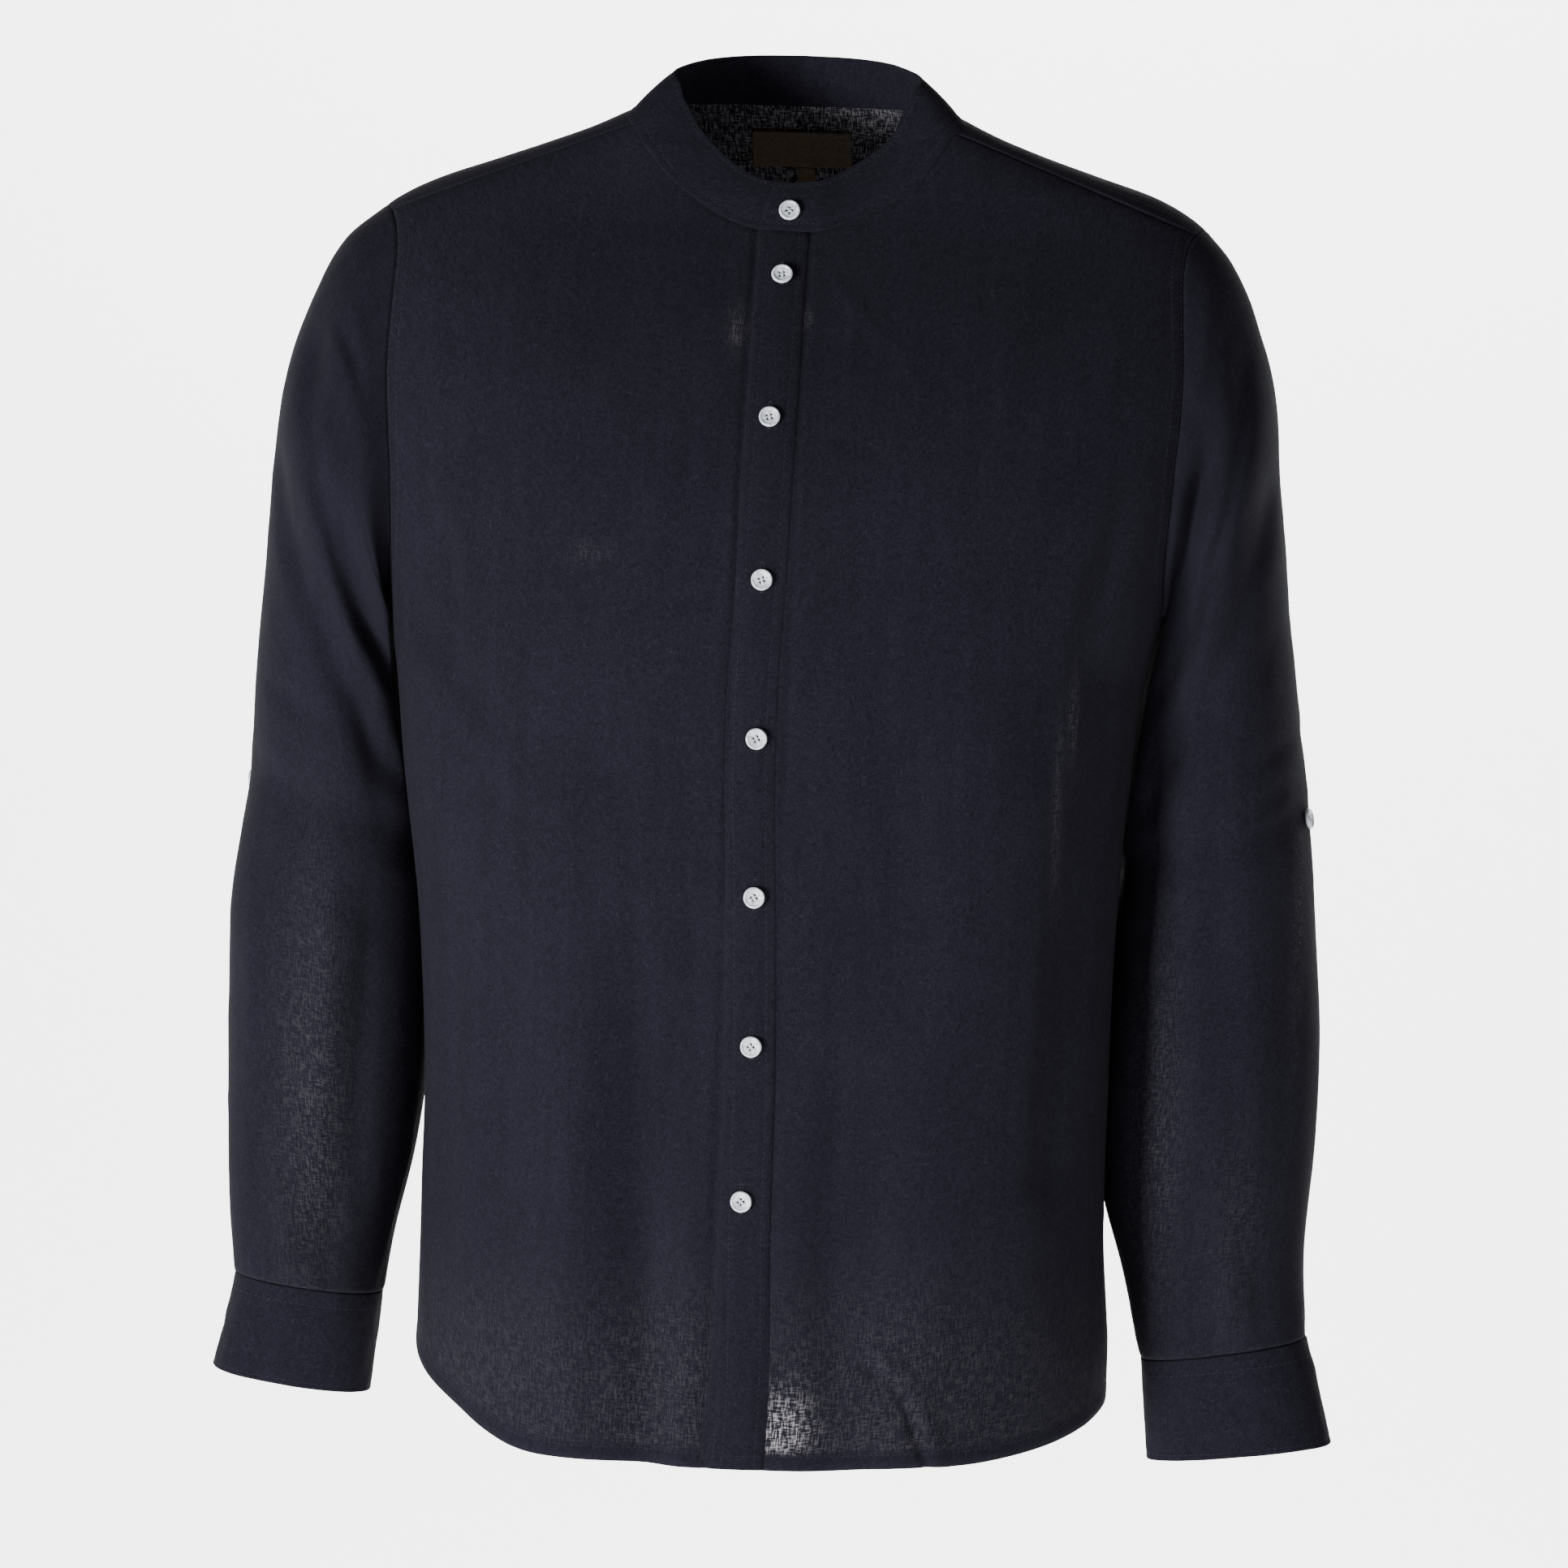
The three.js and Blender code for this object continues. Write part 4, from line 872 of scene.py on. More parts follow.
RIGHT_CUFF = table_of(
    "share out_across out_up in_across in_up mid deep",
    (0, 289.5, -645, 208.5, -654, -10, 39), (1, 300, -697, 213, -708, -17, 36),
)
SLEEVE_MM_PER_DEGREE = 1.1
SLEEVE_FOLDS = table_of(
    "angle up to_angle to_up spread height",
    (40, 70, 112, 175, 15, -4), (36, 150, 128, 285, 15, -4.5), (60, 110, 120, 215, 14, 2.6),
    (318, 80, 246, 190, 15, -6), (322, 160, 236, 300, 15, -5), (30, 318, 345, 346, 20, -3),
    (100, 400, 78, 590, 16, 3), (285, 480, 300, 600, 15, -4),
)
LEFT_FRONT_CREASES = table_of(
    "across up to_across to_up spread height",
    (236, -104, 209, -184, 7, -5), (238, -96, 204, -164, 6, 2.2), (240, -170, 206, -228, 7, -4.6),
    (219, -160, 208, -340, 14, -19), (206, -316, 203, -440, 11, -6), (203, -420, 200, -640, 9, -3),
    (262, -196, 214, -266, 9, -2.4), (270, -224, 226, -300, 8, 2), (276, -268, 216, -352, 9, -2),
    (282, -330, 252, -352, 6, -1.8), (286, -362, 250, -382, 5, 1.4), (240, -380, 236, -560, 8, -2),
    (262, -400, 268, -600, 8, 1.6), (282, -420, 284, -560, 6, -1.2), (216, -420, 218, -640, 6, 1.2),
    (240, -600, 236, -664, 5, -1.4), (272, -612, 276, -664, 5, -1.3), (256, -620, 256, -668, 4, 1.2),
)
RIGHT_FRONT_CREASES = table_of(
    "across up to_across to_up spread height",
    (-266, -118, -230, -196, 8, -1.4), (-252, -112, -218, -182, 7, 1.2), (-241, -214, -200, -344, 6, -6),
    (-252, -220, -212, -350, 6, 2), (-216, -170, -204, -320, 13, 6.5), (-236, -128, -224, -168, 4, -3),
    (-247, -118, -227, -148, 4, -2.2), (-240, -106, -221, -134, 4, 1.5), (-229, -110, -214, -152, 4, -1.9),
    (-276, -240, -236, -330, 8, 2), (-226, -296, -213, -392, 8, -3), (-280, -318, -246, -340, 6, -1.8),
    (-284, -352, -246, -372, 6, 1.4), (-262, -352, -264, -560, 9, -1.8), (-240, -380, -240, -600, 8, 1.8),
    (-218, -420, -221, -600, 6, -1.6), (-284, -430, -280, -600, 6, 1.2), (-232, -596, -236, -648, 5, -1.4),
    (-264, -600, -262, -646, 5, -1.3),
)
BACK_DRAG = table_of(
    "across up to_across to_up spread height",
    (258, -104, 214, -196, 8, -3.4), (264, -180, 216, -262, 8, -3.2), (246, -120, 206, -206, 7, 1.8),
    (276, -262, 222, -348, 9, -2.4), (270, -232, 218, -310, 7, 1.8), (284, -330, 232, -392, 8, -2),
    (262, -400, 266, -560, 9, -1.8), (236, -420, 234, -590, 8, 1.6), (240, -600, 238, -650, 5, -1.8),
    (268, -600, 270, -650, 5, -1.6),
)
print("sleeve folds:", len(SLEEVE_FOLDS) + len(LEFT_FRONT_CREASES) + len(RIGHT_FRONT_CREASES))


# %% Sleeve surface
def seen_folds(rows, place, shown, side=1):
    """Folds given by where they are seen, across and up, on the part of the cloth that faces that way."""
    total = np.zeros(shown.shape)
    for f in rows:
        away, t = distance_to_line(
            side * place[..., 0], place[..., 2], f["across"], f["up"], f["to_across"], f["to_up"]
        )
        taper = np.sin(np.pi * np.clip(0.12 + 0.76 * t, 0, 1))
        total = total + f["height"] * bump(away, f["spread"]) * taper
    return total * shown


def clear_of_body(place, clearance):
    """Moves the points of a sleeve straight out from the body where they come too close to it."""
    section = body_section(place[..., 2])
    across, ahead = place[..., 0] - section["shift"], section["mid"] - place[..., 1]
    beside = body(np.degrees(np.arctan2(across, ahead)), place[..., 2])
    reach = np.hypot(beside[..., 0] - section["shift"], beside[..., 1] - section["mid"]) + clearance
    now = np.hypot(across, ahead)
    share = ease((ARMPIT + 60 - place[..., 2]) / 50)
    grown = np.where(now < reach, mix(now, reach, share) / np.maximum(now, 1e-6), 1)
    return points(section["shift"] + across * grown, section["mid"] - ahead * grown, place[..., 2])


def oval(turn):
    sin, cos = np.sin(np.radians(turn)), np.cos(np.radians(turn))
    size = (power(sin, 2.2) + power(cos, 2.2)) ** (-1 / 2.2)
    return size * sin, size * cos


def sleeve_surface(side, rings, front_creases):
    ring = curves(rings, "along")
    end = rings[-1]["along"]

    def centre(r):
        return points(side * (r["out_across"] + r["in_across"]) / 2, r["mid"], (r["out_up"] + r["in_up"]) / 2)

    def plain(turn, along):
        r = ring(along)
        sin, cos = oval(turn)
        half = points(side * (r["out_across"] - r["in_across"]) / 2, 0 * sin, (r["out_up"] - r["in_up"]) / 2)
        return centre(r) + half * cos[..., None] - points(0 * sin, sin * r["deep"], 0 * sin)

    def tuck(along):
        """The seam end of the sleeve goes in under the edge of the body."""
        return 1 - ease(along / 2.6)

    def surface(turn, along, fine=True):
        turn, along = np.broadcast_arrays(np.asarray(turn, float), np.asarray(along, float))
        round_turn = wrapped(turn)
        hole_angle, hole_up = armhole(side, np.where(round_turn < 0, round_turn + 360, round_turn))
        start = body(hole_angle, hole_up)
        start[..., 0] += side * (0.25 - 0.85 * tuck(along))
        fade = 1 - ease(along / 150)
        place = plain(turn, along) + (start - plain(turn, 0 * along)) * fade[..., None]
        away = unit(place - centre(ring(along)))
        high = folds(SLEEVE_FOLDS, turn, along, SLEEVE_MM_PER_DEGREE)
        if fine:
            facing_front = ease(0.5 + 2.2 * np.sin(np.radians(turn)))
            high = high + seen_folds(front_creases, place, facing_front)
            high = high + seen_folds(BACK_DRAG, place, 1 - facing_front, side)
            near = np.abs(round_turn) * 1.15
            high = high + crumple(near, along, seed=60 + side, height=1.1)
        place = place + away * (high * ease(along / 60) * ease((end - along) / 14))[..., None]
        return clear_of_body(place, 0.3 - 1.6 * tuck(along) + 2.2 * ease(along / 24))

    surface.end = end
    return surface


sleeve_surfaces = {
    1: sleeve_surface(1, LEFT_RINGS, LEFT_FRONT_CREASES),
    -1: sleeve_surface(-1, RIGHT_RINGS, RIGHT_FRONT_CREASES),
}
print("sleeve lengths:", [s.end for s in sleeve_surfaces.values()])

# %% Sleeves
SLEEVE_COLUMNS, SLEEVE_ROWS = 132, 240
# Patches of painted light, where the light behind the cloth is shown through the sleeves.
LIGHT_SPOTS_SLEEVE = table_of(
    "across up wide tall much",
    (-247, -530, 24, 120, 0.05), (-240, -585, 12, 60, 0.03), (214, -545, 15, 115, 0.05),
    (288, -422, 4, 70, 0.06), (262, -600, 18, 60, 0.03),
)


def sleeve_chart(side):
    surface = sleeve_surfaces[side]

    def chart(u, v):
        turn = mix(180.0, -180.0, u if side > 0 else 1 - u)
        along = surface.end * (1 - v)
        place = surface(turn, along)
        centre = points(side * 250.0 + 0 * u, 0 * u, place[:, 2])
        out = unit(place - centre)
        to_cuff = surface.end - along
        drop = -0.2 * bump(along, 1.2) - 0.2 * bump(to_cuff, 1.2)
        fullness = 0.5 * soft_noise(turn * 1.1, 0 * turn, 7, 70 + side) * bump(to_cuff, 16)
        return place + out * (drop + fullness * ease(to_cuff / 4))[:, None], None, None

    return chart


for side, word in SIDES:
    chart = sleeve_chart(side)
    glow = light_through(LIGHT_SPOTS_SLEEVE, chart)
    strip(f"cloth_sleeve_{word}", SLEEVE_COLUMNS, SLEEVE_ROWS, chart, 0.8, closed=True, thin=glow)
print("sleeve polygons:", len(made["cloth_sleeve_left"].data.polygons))

# %% [markdown]
# ## Cuffs and sleeve plackets
#
# A cuff is one stiffened strip round the wrist whose end laps over its start at the back of the arm.

# %% Cuffs
CUFF_FROM, CUFF_LAP, CUFF_TALL = 244, 26, 56
CUFF_COLUMNS, CUFF_ROWS = 170, 34


CUFFS = (LEFT_CUFF, RIGHT_CUFF)


def cuff_point(side, table, turn, share, out):
    top, bottom = table
    at = {name: mix(top[name], bottom[name], share) for name in top}
    sin, cos = oval(turn)
    half = (at["out_across"] - at["in_across"]) / 2
    return points(
        side * ((at["out_across"] + at["in_across"]) / 2 + (half + out) * cos),
        at["mid"] - (at["deep"] + out) * sin,
        (at["out_up"] + at["in_up"]) / 2 + (at["out_up"] - at["in_up"]) / 2 * cos,
    )


def cuff_chart(side, table):
    def chart(u, v):
        turn = mix(CUFF_FROM + 360.0 + CUFF_LAP, float(CUFF_FROM), u if side > 0 else 1 - u)
        share = 1 - v
        lift = (BAND + 0.3) * ease((turn - CUFF_FROM - 345) / 15)
        down = share * CUFF_TALL
        ditch = 0.22 * bump(down - 9, 0.8) + 0.2 * bump(53 - down, 0.8)
        wave = 0.5 * soft_noise(turn * 0.75, down, 18, 80 + side)
        wave = wave + 0.25 * soft_noise(turn * 0.75, down, 8, 82 + side)
        return cuff_point(side, table, turn, share, lift + wave - ditch), None, None

    return chart


for (side, word), table in zip(SIDES, CUFFS):
    rounded(strip(f"cloth_cuff_{word}", CUFF_COLUMNS, CUFF_ROWS, cuff_chart(side, table), BAND), 0.6)


def sleeve_placket_chart(side):
    surface = sleeve_surfaces[side]

    def chart(u, v):
        turn = mix(272.0, 246.0, u if side > 0 else 1 - u)
        along = mix(surface.end - 0.5, surface.end - 128, v)
        here = surface(turn, along)
        out = unit(here - points(side * 250.0 + 0 * u, 0 * u, here[:, 2]))
        return here + out * (2.1 + edge_drop(u, v, 20, 80, 0.3))[:, None], None, None

    return chart


for side, word in SIDES:
    rounded(strip(f"cloth_sleeve_placket_{word}", 20, 80, sleeve_placket_chart(side), 1.1), 0.4)
print("pieces of cloth:", len(made))

# %% [markdown]
# ## Labels
#
# Two plain woven labels lie on the inside of the yoke. Each is a closed little sheet.


# %% Labels
def label_chart(from_across, to_across, top, bottom, behind):
    def chart(u, v):
        height = mix(float(bottom), float(top), v)
        section = body_section(height)
        angle = 180 - np.degrees(np.arctan2(mix(to_across, from_across, u), section["back"] - section["mid"]))
        place = body(angle, height, fine=False) + body_facing(angle, height) * -(1.3 + behind)
        return place, None, None

    return chart


strip("label_cloth_main", 60, 22, label_chart(-29.8, 26.2, -8.2, -27.2, 0.35), 0.7)
strip("label_cloth_size", 14, 12, label_chart(-6, 4.5, -27.6, -36.8, 0.35), 0.7)
print("labels:", [name for name in made if name.startswith("label")])

# %% [markdown]
# ## Buttons
#
# A shirt button is turned from one disc: a raised rim, a dished middle and four holes. Its half profile is
# spun round the axis, and a Boolean modifier drills the holes once, on the first button. The others are
# copies. White thread crosses between the holes and wraps a short shank below.

# %% The first button
BUTTON_STAND = 0.4
BUTTON_PROFILE = [
    (0, 0), (3.9, 0), (4.8, 0.1), (5.5, 0.55), (5.7, 1.05), (5.66, 1.6), (5.4, 2.1), (5.0, 2.3), (4.6, 2.24),
    (4.25, 1.9), (4.0, 1.62), (3.5, 1.52), (0, 1.5),
]
HOLE_OUT, HOLE_RADIUS = 1.35, 0.72


def turned(profile, steps):
    """Spins a half profile, given as distance out and height, all the way round."""
    bm = bmesh.new()
    line = [bm.verts.new((out * MM, 0, height * MM)) for out, height in profile]
    edges = [bm.edges.new(pair) for pair in zip(line, line[1:])]
    bmesh.ops.spin(
        bm, geom=line + edges, cent=(0, 0, 0), axis=(0, 0, 1), angle=math.tau, steps=steps, use_merge=True
    )
    bmesh.ops.remove_doubles(bm, verts=bm.verts, dist=1e-6)
    bmesh.ops.recalc_face_normals(bm, faces=bm.faces)
    return bm


first = place_object("button_blank", finish_mesh(turned(BUTTON_PROFILE, 40), "button_blank"))
bm = bmesh.new()
for quarter in range(4):
    a = math.radians(45 + 90 * quarter)
    middle = Matrix.Translation((HOLE_OUT * MM * math.cos(a), HOLE_OUT * MM * math.sin(a), 1 * MM))
    radius = HOLE_RADIUS * MM
    bmesh.ops.create_cone(
        bm, cap_ends=True, segments=14, radius1=radius, radius2=radius, depth=4 * MM, matrix=middle
    )
drills = place_object("button_drills", finish_mesh(bm, "button_drills"))
cut = first.modifiers.new("holes", "BOOLEAN")
cut.operation, cut.solver, cut.object = "DIFFERENCE", "EXACT", drills
ready = first.evaluated_get(bpy.context.evaluated_depsgraph_get())
button_mesh = bpy.data.meshes.new_from_object(ready)
for thing in (first, drills):
    bpy.data.objects.remove(thing)
print("button polygons:", len(button_mesh.polygons))


# %% Thread helpers
def arrays(mesh):
    verts = np.empty(len(mesh.vertices) * 3)
    mesh.vertices.foreach_get("co", verts)
    return verts.reshape(-1, 3), [tuple(p.vertices) for p in mesh.polygons]


bm = bmesh.new()
bmesh.ops.create_icosphere(bm, subdivisions=1, radius=1)
stitch_corners, stitch_faces = arrays(finish_mesh(bm, "stitch_blank"))


def sewn(name, starts, ends, normals, thick, flat):
    """Copies of one small rounded blank, each stretched from a start to an end, as one mesh of stitches."""
    starts, ends, normals = (np.asarray(x, float).reshape(-1, 3) for x in (starts, ends, normals))
    along = (ends - starts) / 2
    half = np.linalg.norm(along, axis=1, keepdims=True)
    along_unit = along / np.maximum(half, 1e-9)
    beside = unit(np.cross(normals, along_unit))
    above = np.cross(along_unit, beside)
    middle = (starts + ends) / 2
    c = stitch_corners
    spots = (
        middle[:, None, :]
        + c[None, :, 0, None] * (half + thick * 0.5)[:, None, :] * along_unit[:, None, :]
        + c[None, :, 1, None] * thick * beside[:, None, :]
        + c[None, :, 2, None] * thick * flat * above[:, None, :]
    )
    faces = [tuple(i + k * len(c) for i in face) for k in range(len(middle)) for face in stitch_faces]
    mesh = bpy.data.meshes.new(name)
    mesh.from_pydata((spots.reshape(-1, 3) * MM).tolist(), [], faces)
    mesh.update()
    for polygon in mesh.polygons:
        polygon.use_smooth = True
    return place_object(name, mesh)


class Stitches:
    """Starts, ends and normals, gathered one stitch at a time until they become one mesh."""

    def __init__(self):
        self.starts, self.ends, self.normals = [], [], []

    def add(self, start, end, normal):
        self.starts.append(start)
        self.ends.append(end)
        self.normals.append(normal)

    def made(self, name, thick, flat):
        return sewn(name, self.starts, self.ends, self.normals, thick, flat)


print("faces in a stitch:", len(stitch_faces))

# %% [markdown]
# Every button knows a point on the cloth, the direction it faces, and how high it stands. All are found
# from the same surfaces as the cloth, so the button sits on its placket, cuff or sleeve.

# %% Set the buttons
FRONT_BUTTONS = table_of(
    "up across",
    (-90, -1.2), (-165, -2.8), (-250, -1.1), (-333.5, 1.5), (-417.5, 0.5), (-497, -1.2), (-580, -4.2),
)
OVER_LIFT = 2.2


def plain_body(angle, height):
    return body(angle, height, fine=False)


button_places = {}
for number, row in enumerate(FRONT_BUTTONS, 1):
    angle = angle_across(row["across"], row["up"])
    button_places[f"button_front_{number}"] = (
        plain_body(angle, row["up"]), facing(plain_body, angle, row["up"], 0.4, 0.6), OVER_LIFT, 7.0 * number
    )


def collar_front(angle, share):
    return collar_point(np.asarray(angle), np.asarray(share), COLLAR_LAP)


button_places["button_collar"] = (collar_front(0.5, 0.36), facing(collar_front, 0.5, 0.36, 1, 0.1), 0.2, 50)
for side, word, table, turn, along in ((1, "left", LEFT_CUFF, 16, 331), (-1, "right", RIGHT_CUFF, 352, 333)):
    def on_cuff(t, share, side=side, table=table):
        return cuff_point(side, table, t, share, BAND + 0.3)

    def on_sleeve(t, a, side=side):
        return sleeve_surfaces[side](t, a, fine=False)

    button_places[f"button_cuff_{word}"] = (
        on_cuff(CUFF_FROM + 12, 0.5), facing(on_cuff, CUFF_FROM + 12, 0.5, 1, 0.1) * side, 0.1, 20
    )
    button_places[f"button_tab_{word}"] = (
        on_sleeve(turn, along), facing(on_sleeve, turn, along, 1, 2) * side, 0.6, 30
    )

button_sewn = Stitches()
button_pieces = []
for name, (spot, direction, lift, spun) in button_places.items():
    direction = Vector(direction).normalized()
    base = Vector(spot) + direction * (lift + BUTTON_STAND)
    turned_to = direction.to_track_quat("Z", "Y").to_matrix() @ Matrix.Rotation(math.radians(spun), 3, "Z")
    mesh = button_mesh.copy()
    mesh.transform(Matrix.Translation(base * MM) @ turned_to.to_4x4())
    button_pieces.append(place_object(f"sewn_{name}", mesh))
    holes = [
        base + turned_to @ Vector((HOLE_OUT * math.cos(a), HOLE_OUT * math.sin(a), 1.62))
        for a in (math.radians(45 + 90 * q) for q in range(4))
    ]
    for a, b in ((0, 1), (2, 3)):
        for offset in (-0.22, 0.05, 0.3):
            beside = (holes[b] - holes[a]).cross(direction).normalized() * offset
            button_sewn.add(holes[a] + beside, holes[b] + beside, direction)
    for q in range(6):
        around = turned_to @ Vector((math.cos(q * math.tau / 6), math.sin(q * math.tau / 6), 0)) * 0.9
        foot = Vector(spot) + direction * (lift - 0.5) + around
        button_sewn.add(foot, base + around + direction * 0.3, around.normalized())
button_thread = button_sewn.made("thread_on_buttons", 0.2, 1.0)
print("buttons:", len(button_pieces))

# %% [markdown]
# ## Topstitching
#
# Every seam of a shirt is finished with straight stitches that stay on view. A row is a path just beside
# the seam. It is walked in equal steps, and each step is laid onto the nearest piece of cloth, so the
# thread follows the creases.


# %% Rows of stitches
class Cloth:
    """The outer faces of some pieces, ready to be sewn on."""

    def __init__(self, *names):
        self.trees = [find_surface(made["cloth_" + name]) for name in names]

    def nearest(self, spot):
        best = None
        for tree in self.trees:
            where, normal, _, away = tree.find_nearest(Vector(spot) * MM)
            if where is not None and (best is None or away < best[2]):
                best = (where / MM, normal, away)
        return best


STITCH, PITCH, SINK = 2.3, 3.1, 0.02
rows_sewn = Stitches()


def walk(path, pitch):
    """Points along a path at equal steps, and the direction of travel at each."""
    path = np.asarray(path, float)
    lengths = np.concatenate([[0], np.cumsum(np.linalg.norm(np.diff(path, axis=0), axis=1))])
    at = np.arange(pitch / 2, lengths[-1], pitch)
    spots = np.stack([np.interp(at, lengths, path[:, k]) for k in range(3)], 1)
    ahead = np.stack([np.interp(at + 0.5, lengths, path[:, k]) for k in range(3)], 1)
    behind = np.stack([np.interp(at - 0.5, lengths, path[:, k]) for k in range(3)], 1)
    return spots, unit(ahead - behind)


def sew(cloth, path):
    """Lays a row of stitches onto the cloth, nearest to the path."""
    for spot, direction in zip(*walk(path, PITCH)):
        where, normal, _ = cloth.nearest(spot)
        flat = Vector(direction)
        flat = (flat - normal * flat.dot(normal)).normalized() * (STITCH / 2)
        middle = where - normal * SINK
        rows_sewn.add(middle - flat, middle + flat, normal)


body_cloth = Cloth("front_left", "front_right", "back")
yoke_cloth = Cloth("yoke")
shoulder_cloth = Cloth("front_left", "front_right", "back", "yoke")
over_cloth = Cloth("placket_over")
collar_cloth = Cloth("collar_band")

# Both edges of the placket that lies over
heights = np.linspace(float(hem_up(0)) + 1.5, -66, 500)
for table, shift in ((OVER_EDGE, 5.2), (PLACKET_SEAM, -5.2)):
    across = table(heights)["across"] + shift
    angle = angle_across(across, heights)
    sew(over_cloth, body(angle, heights) + body_facing(angle, heights) * OVER_LIFT)

# The hem, all the way round
angles = np.linspace(-88.5, 268.5, 1200)
slope = (hem_up(angles + 0.5) - hem_up(angles - 0.5)) / MM_PER_DEGREE
heights = hem_up(angles) + (HEM_FOLD - 1) * np.sqrt(1 + slope**2)
skip = (angles > -7.5) & (angles < 4.5)
for start, end in ((0, int(np.argmax(skip))), (len(skip) - int(np.argmax(skip[::-1])), len(angles))):
    sew(body_cloth, body(angles[start:end], heights[start:end]))
under_hem = np.linspace(-4.4, 4.0, 60)
lifted = body_facing(under_hem, hem_up(under_hem)) * OVER_LIFT
sew(over_cloth, body(under_hem, hem_up(under_hem) + HEM_FOLD - 1) + lifted)
print("stitches so far:", len(rows_sewn.starts))

# %% Armholes, shoulders and yoke
for side in (1, -1):
    turns = np.linspace(0, 359, 720)
    hole_angle, hole_height = armhole(side, turns)
    rim = body(hole_angle, hole_height)
    normal = body_facing(hole_angle, hole_height)
    tangent = unit(np.roll(rim, -1, 0) - np.roll(rim, 1, 0))
    inward = unit(np.cross(normal, tangent)) * (-side)
    centre_side = points(side * 120.0, 0.0, -164.0)
    toward = np.sign(np.sum(inward * unit(centre_side - rim), axis=1))
    inward = inward * np.where(np.median(toward) < 0, -1, 1)
    for distance in (1.6, 7.4):
        sew(shoulder_cloth, np.roll(rim + inward * distance, 360, 0))
    t = np.linspace(0.02, 0.99, 200)
    seam_angle, seam_height = shoulder_seam(side, t)
    seam = body(seam_angle, seam_height)
    normal = body_facing(seam_angle, seam_height)
    behind = unit(np.cross(unit(np.gradient(seam, axis=0)), normal))
    behind = behind * np.where(behind[:, 1:2] < 0, -1, 1)
    for distance in (1.4, 6.6):
        sew(yoke_cloth, seam + behind * distance)
first, last = (float(armhole(side, BACK_SEAM_TURN)[0]) for side in (1, -1))
across_back = np.linspace(first + 1, 359 + last, 400)
for distance in (1.5, 6.5):
    sew(yoke_cloth, body(across_back, np.full_like(across_back, YOKE_SEAM + distance)))
for side in (1, -1):
    heights = np.linspace(ARMPIT + 2, float(hem_up(side * 91.0)) + 9, 300)
    sew(Cloth("back"), body(np.full_like(heights, side * 92.0), heights))
print("stitches so far:", len(rows_sewn.starts))

# %% Collar, cuffs and sleeves
for share in (0.09, 0.895):
    t = np.linspace(0.006, 0.994, 900)
    angle = mix(-14.5 + 5 * share**1.5, 372 - 3 * share**1.5, t)
    lap = COLLAR_LAP * (1 - ease((angle - 14) / 20))
    sew(collar_cloth, collar_point(angle, share + 0 * t, lap))
shares = np.linspace(0.09, 0.895, 60)
start = -14.5 + 5 * shares**1.5 + 1.6
sew(collar_cloth, collar_point(start, shares, COLLAR_LAP + 0 * shares))

for (side, word), table in zip(SIDES, CUFFS):
    cuff_cloth = Cloth(f"cuff_{word}")
    turns = np.linspace(CUFF_FROM + 360 + CUFF_LAP - 1.5, CUFF_FROM + 1.5, 500)
    lift = (BAND + 0.3) * ease((turns - CUFF_FROM - 345) / 15)
    for down in (9, 53):
        sew(cuff_cloth, cuff_point(side, table, turns, down / CUFF_TALL + 0 * turns, lift))
    shares = np.linspace(9 / CUFF_TALL, 53 / CUFF_TALL, 60)
    end_turn = np.full_like(shares, CUFF_FROM + 360.0 + CUFF_LAP - 3)
    sew(cuff_cloth, cuff_point(side, table, end_turn, shares, BAND + 0.3 + 0 * shares))
    surface = sleeve_surfaces[side]
    strip_cloth = Cloth(f"sleeve_placket_{word}")
    for turn in (248.5, 269.5):
        alongs = np.linspace(surface.end - 3, surface.end - 125, 120)
        sew(strip_cloth, surface(turn + 0 * alongs, alongs))
    ends = np.linspace(248.5, 269.5, 30)
    for along in (surface.end - 125, surface.end - 92):
        sew(strip_cloth, surface(ends, along + 0 * ends))
    sleeve_cloth = Cloth(f"sleeve_{word}")
    alongs = np.linspace(6, surface.end - 4, 400)
    sew(sleeve_cloth, surface(176.0 + 0 * alongs, alongs))
print("stitches so far:", len(rows_sewn.starts))

topstitching = rows_sewn.made("topstitching", 0.2, 0.75)

# %% [markdown]
# ## Buttonholes
#
# A buttonhole is a slit bound by short stitches set close together, side by side. On the placket they run
# up and down, and on the collar and the cuffs along the band.

# %% Buttonholes
hole_sewn = Stitches()


def buttonhole(cloth, middle, direction, length=15.0):
    """Two lips of close stitches beside a slit, and a bar across each end."""
    middle, direction = Vector(middle), Vector(direction).normalized()
    where, normal, _ = cloth.nearest(middle)
    beside = normal.cross(direction).normalized()
    count = int(length / 0.62)
    for lip in (-1, 1):
        for k in range(count):
            along = (k + 0.5) / count * length - length / 2
            spot, face, _ = cloth.nearest(where + direction * along + beside * lip * 0.75)
            hole_sewn.add(spot - beside * 0.5, spot + beside * 0.5, face)
    for end in (-1, 1):
        for k in range(3):
            spot, face, _ = cloth.nearest(where + direction * end * (length / 2 + 0.15 + 0.3 * k))
            hole_sewn.add(spot - beside * 1.15, spot + beside * 1.15, face)


for name, (spot, direction, lift, spun) in button_places.items():
    if name.startswith("button_front"):
        buttonhole(over_cloth, Vector(spot) + Vector((0, 0, 1.5)), (0, 0, 1))
    elif name == "button_collar":
        buttonhole(collar_cloth, Vector(spot) + Vector((-1.5, 0, 0)), (1, 0, 0))
    elif name.startswith("button_cuff"):
        word = name.rsplit("_", 1)[1]
        side, table = (1, LEFT_CUFF) if word == "left" else (-1, RIGHT_CUFF)
        before, after = (cuff_point(side, table, CUFF_FROM + turn, 0.5, 2.2) for turn in (9, 15))
        buttonhole(Cloth(f"cuff_{word}"), spot, after - before)
buttonhole_thread = hole_sewn.made("buttonhole_stitches", 0.21, 0.7)
print("buttonhole stitches:", len(hole_sewn.starts))

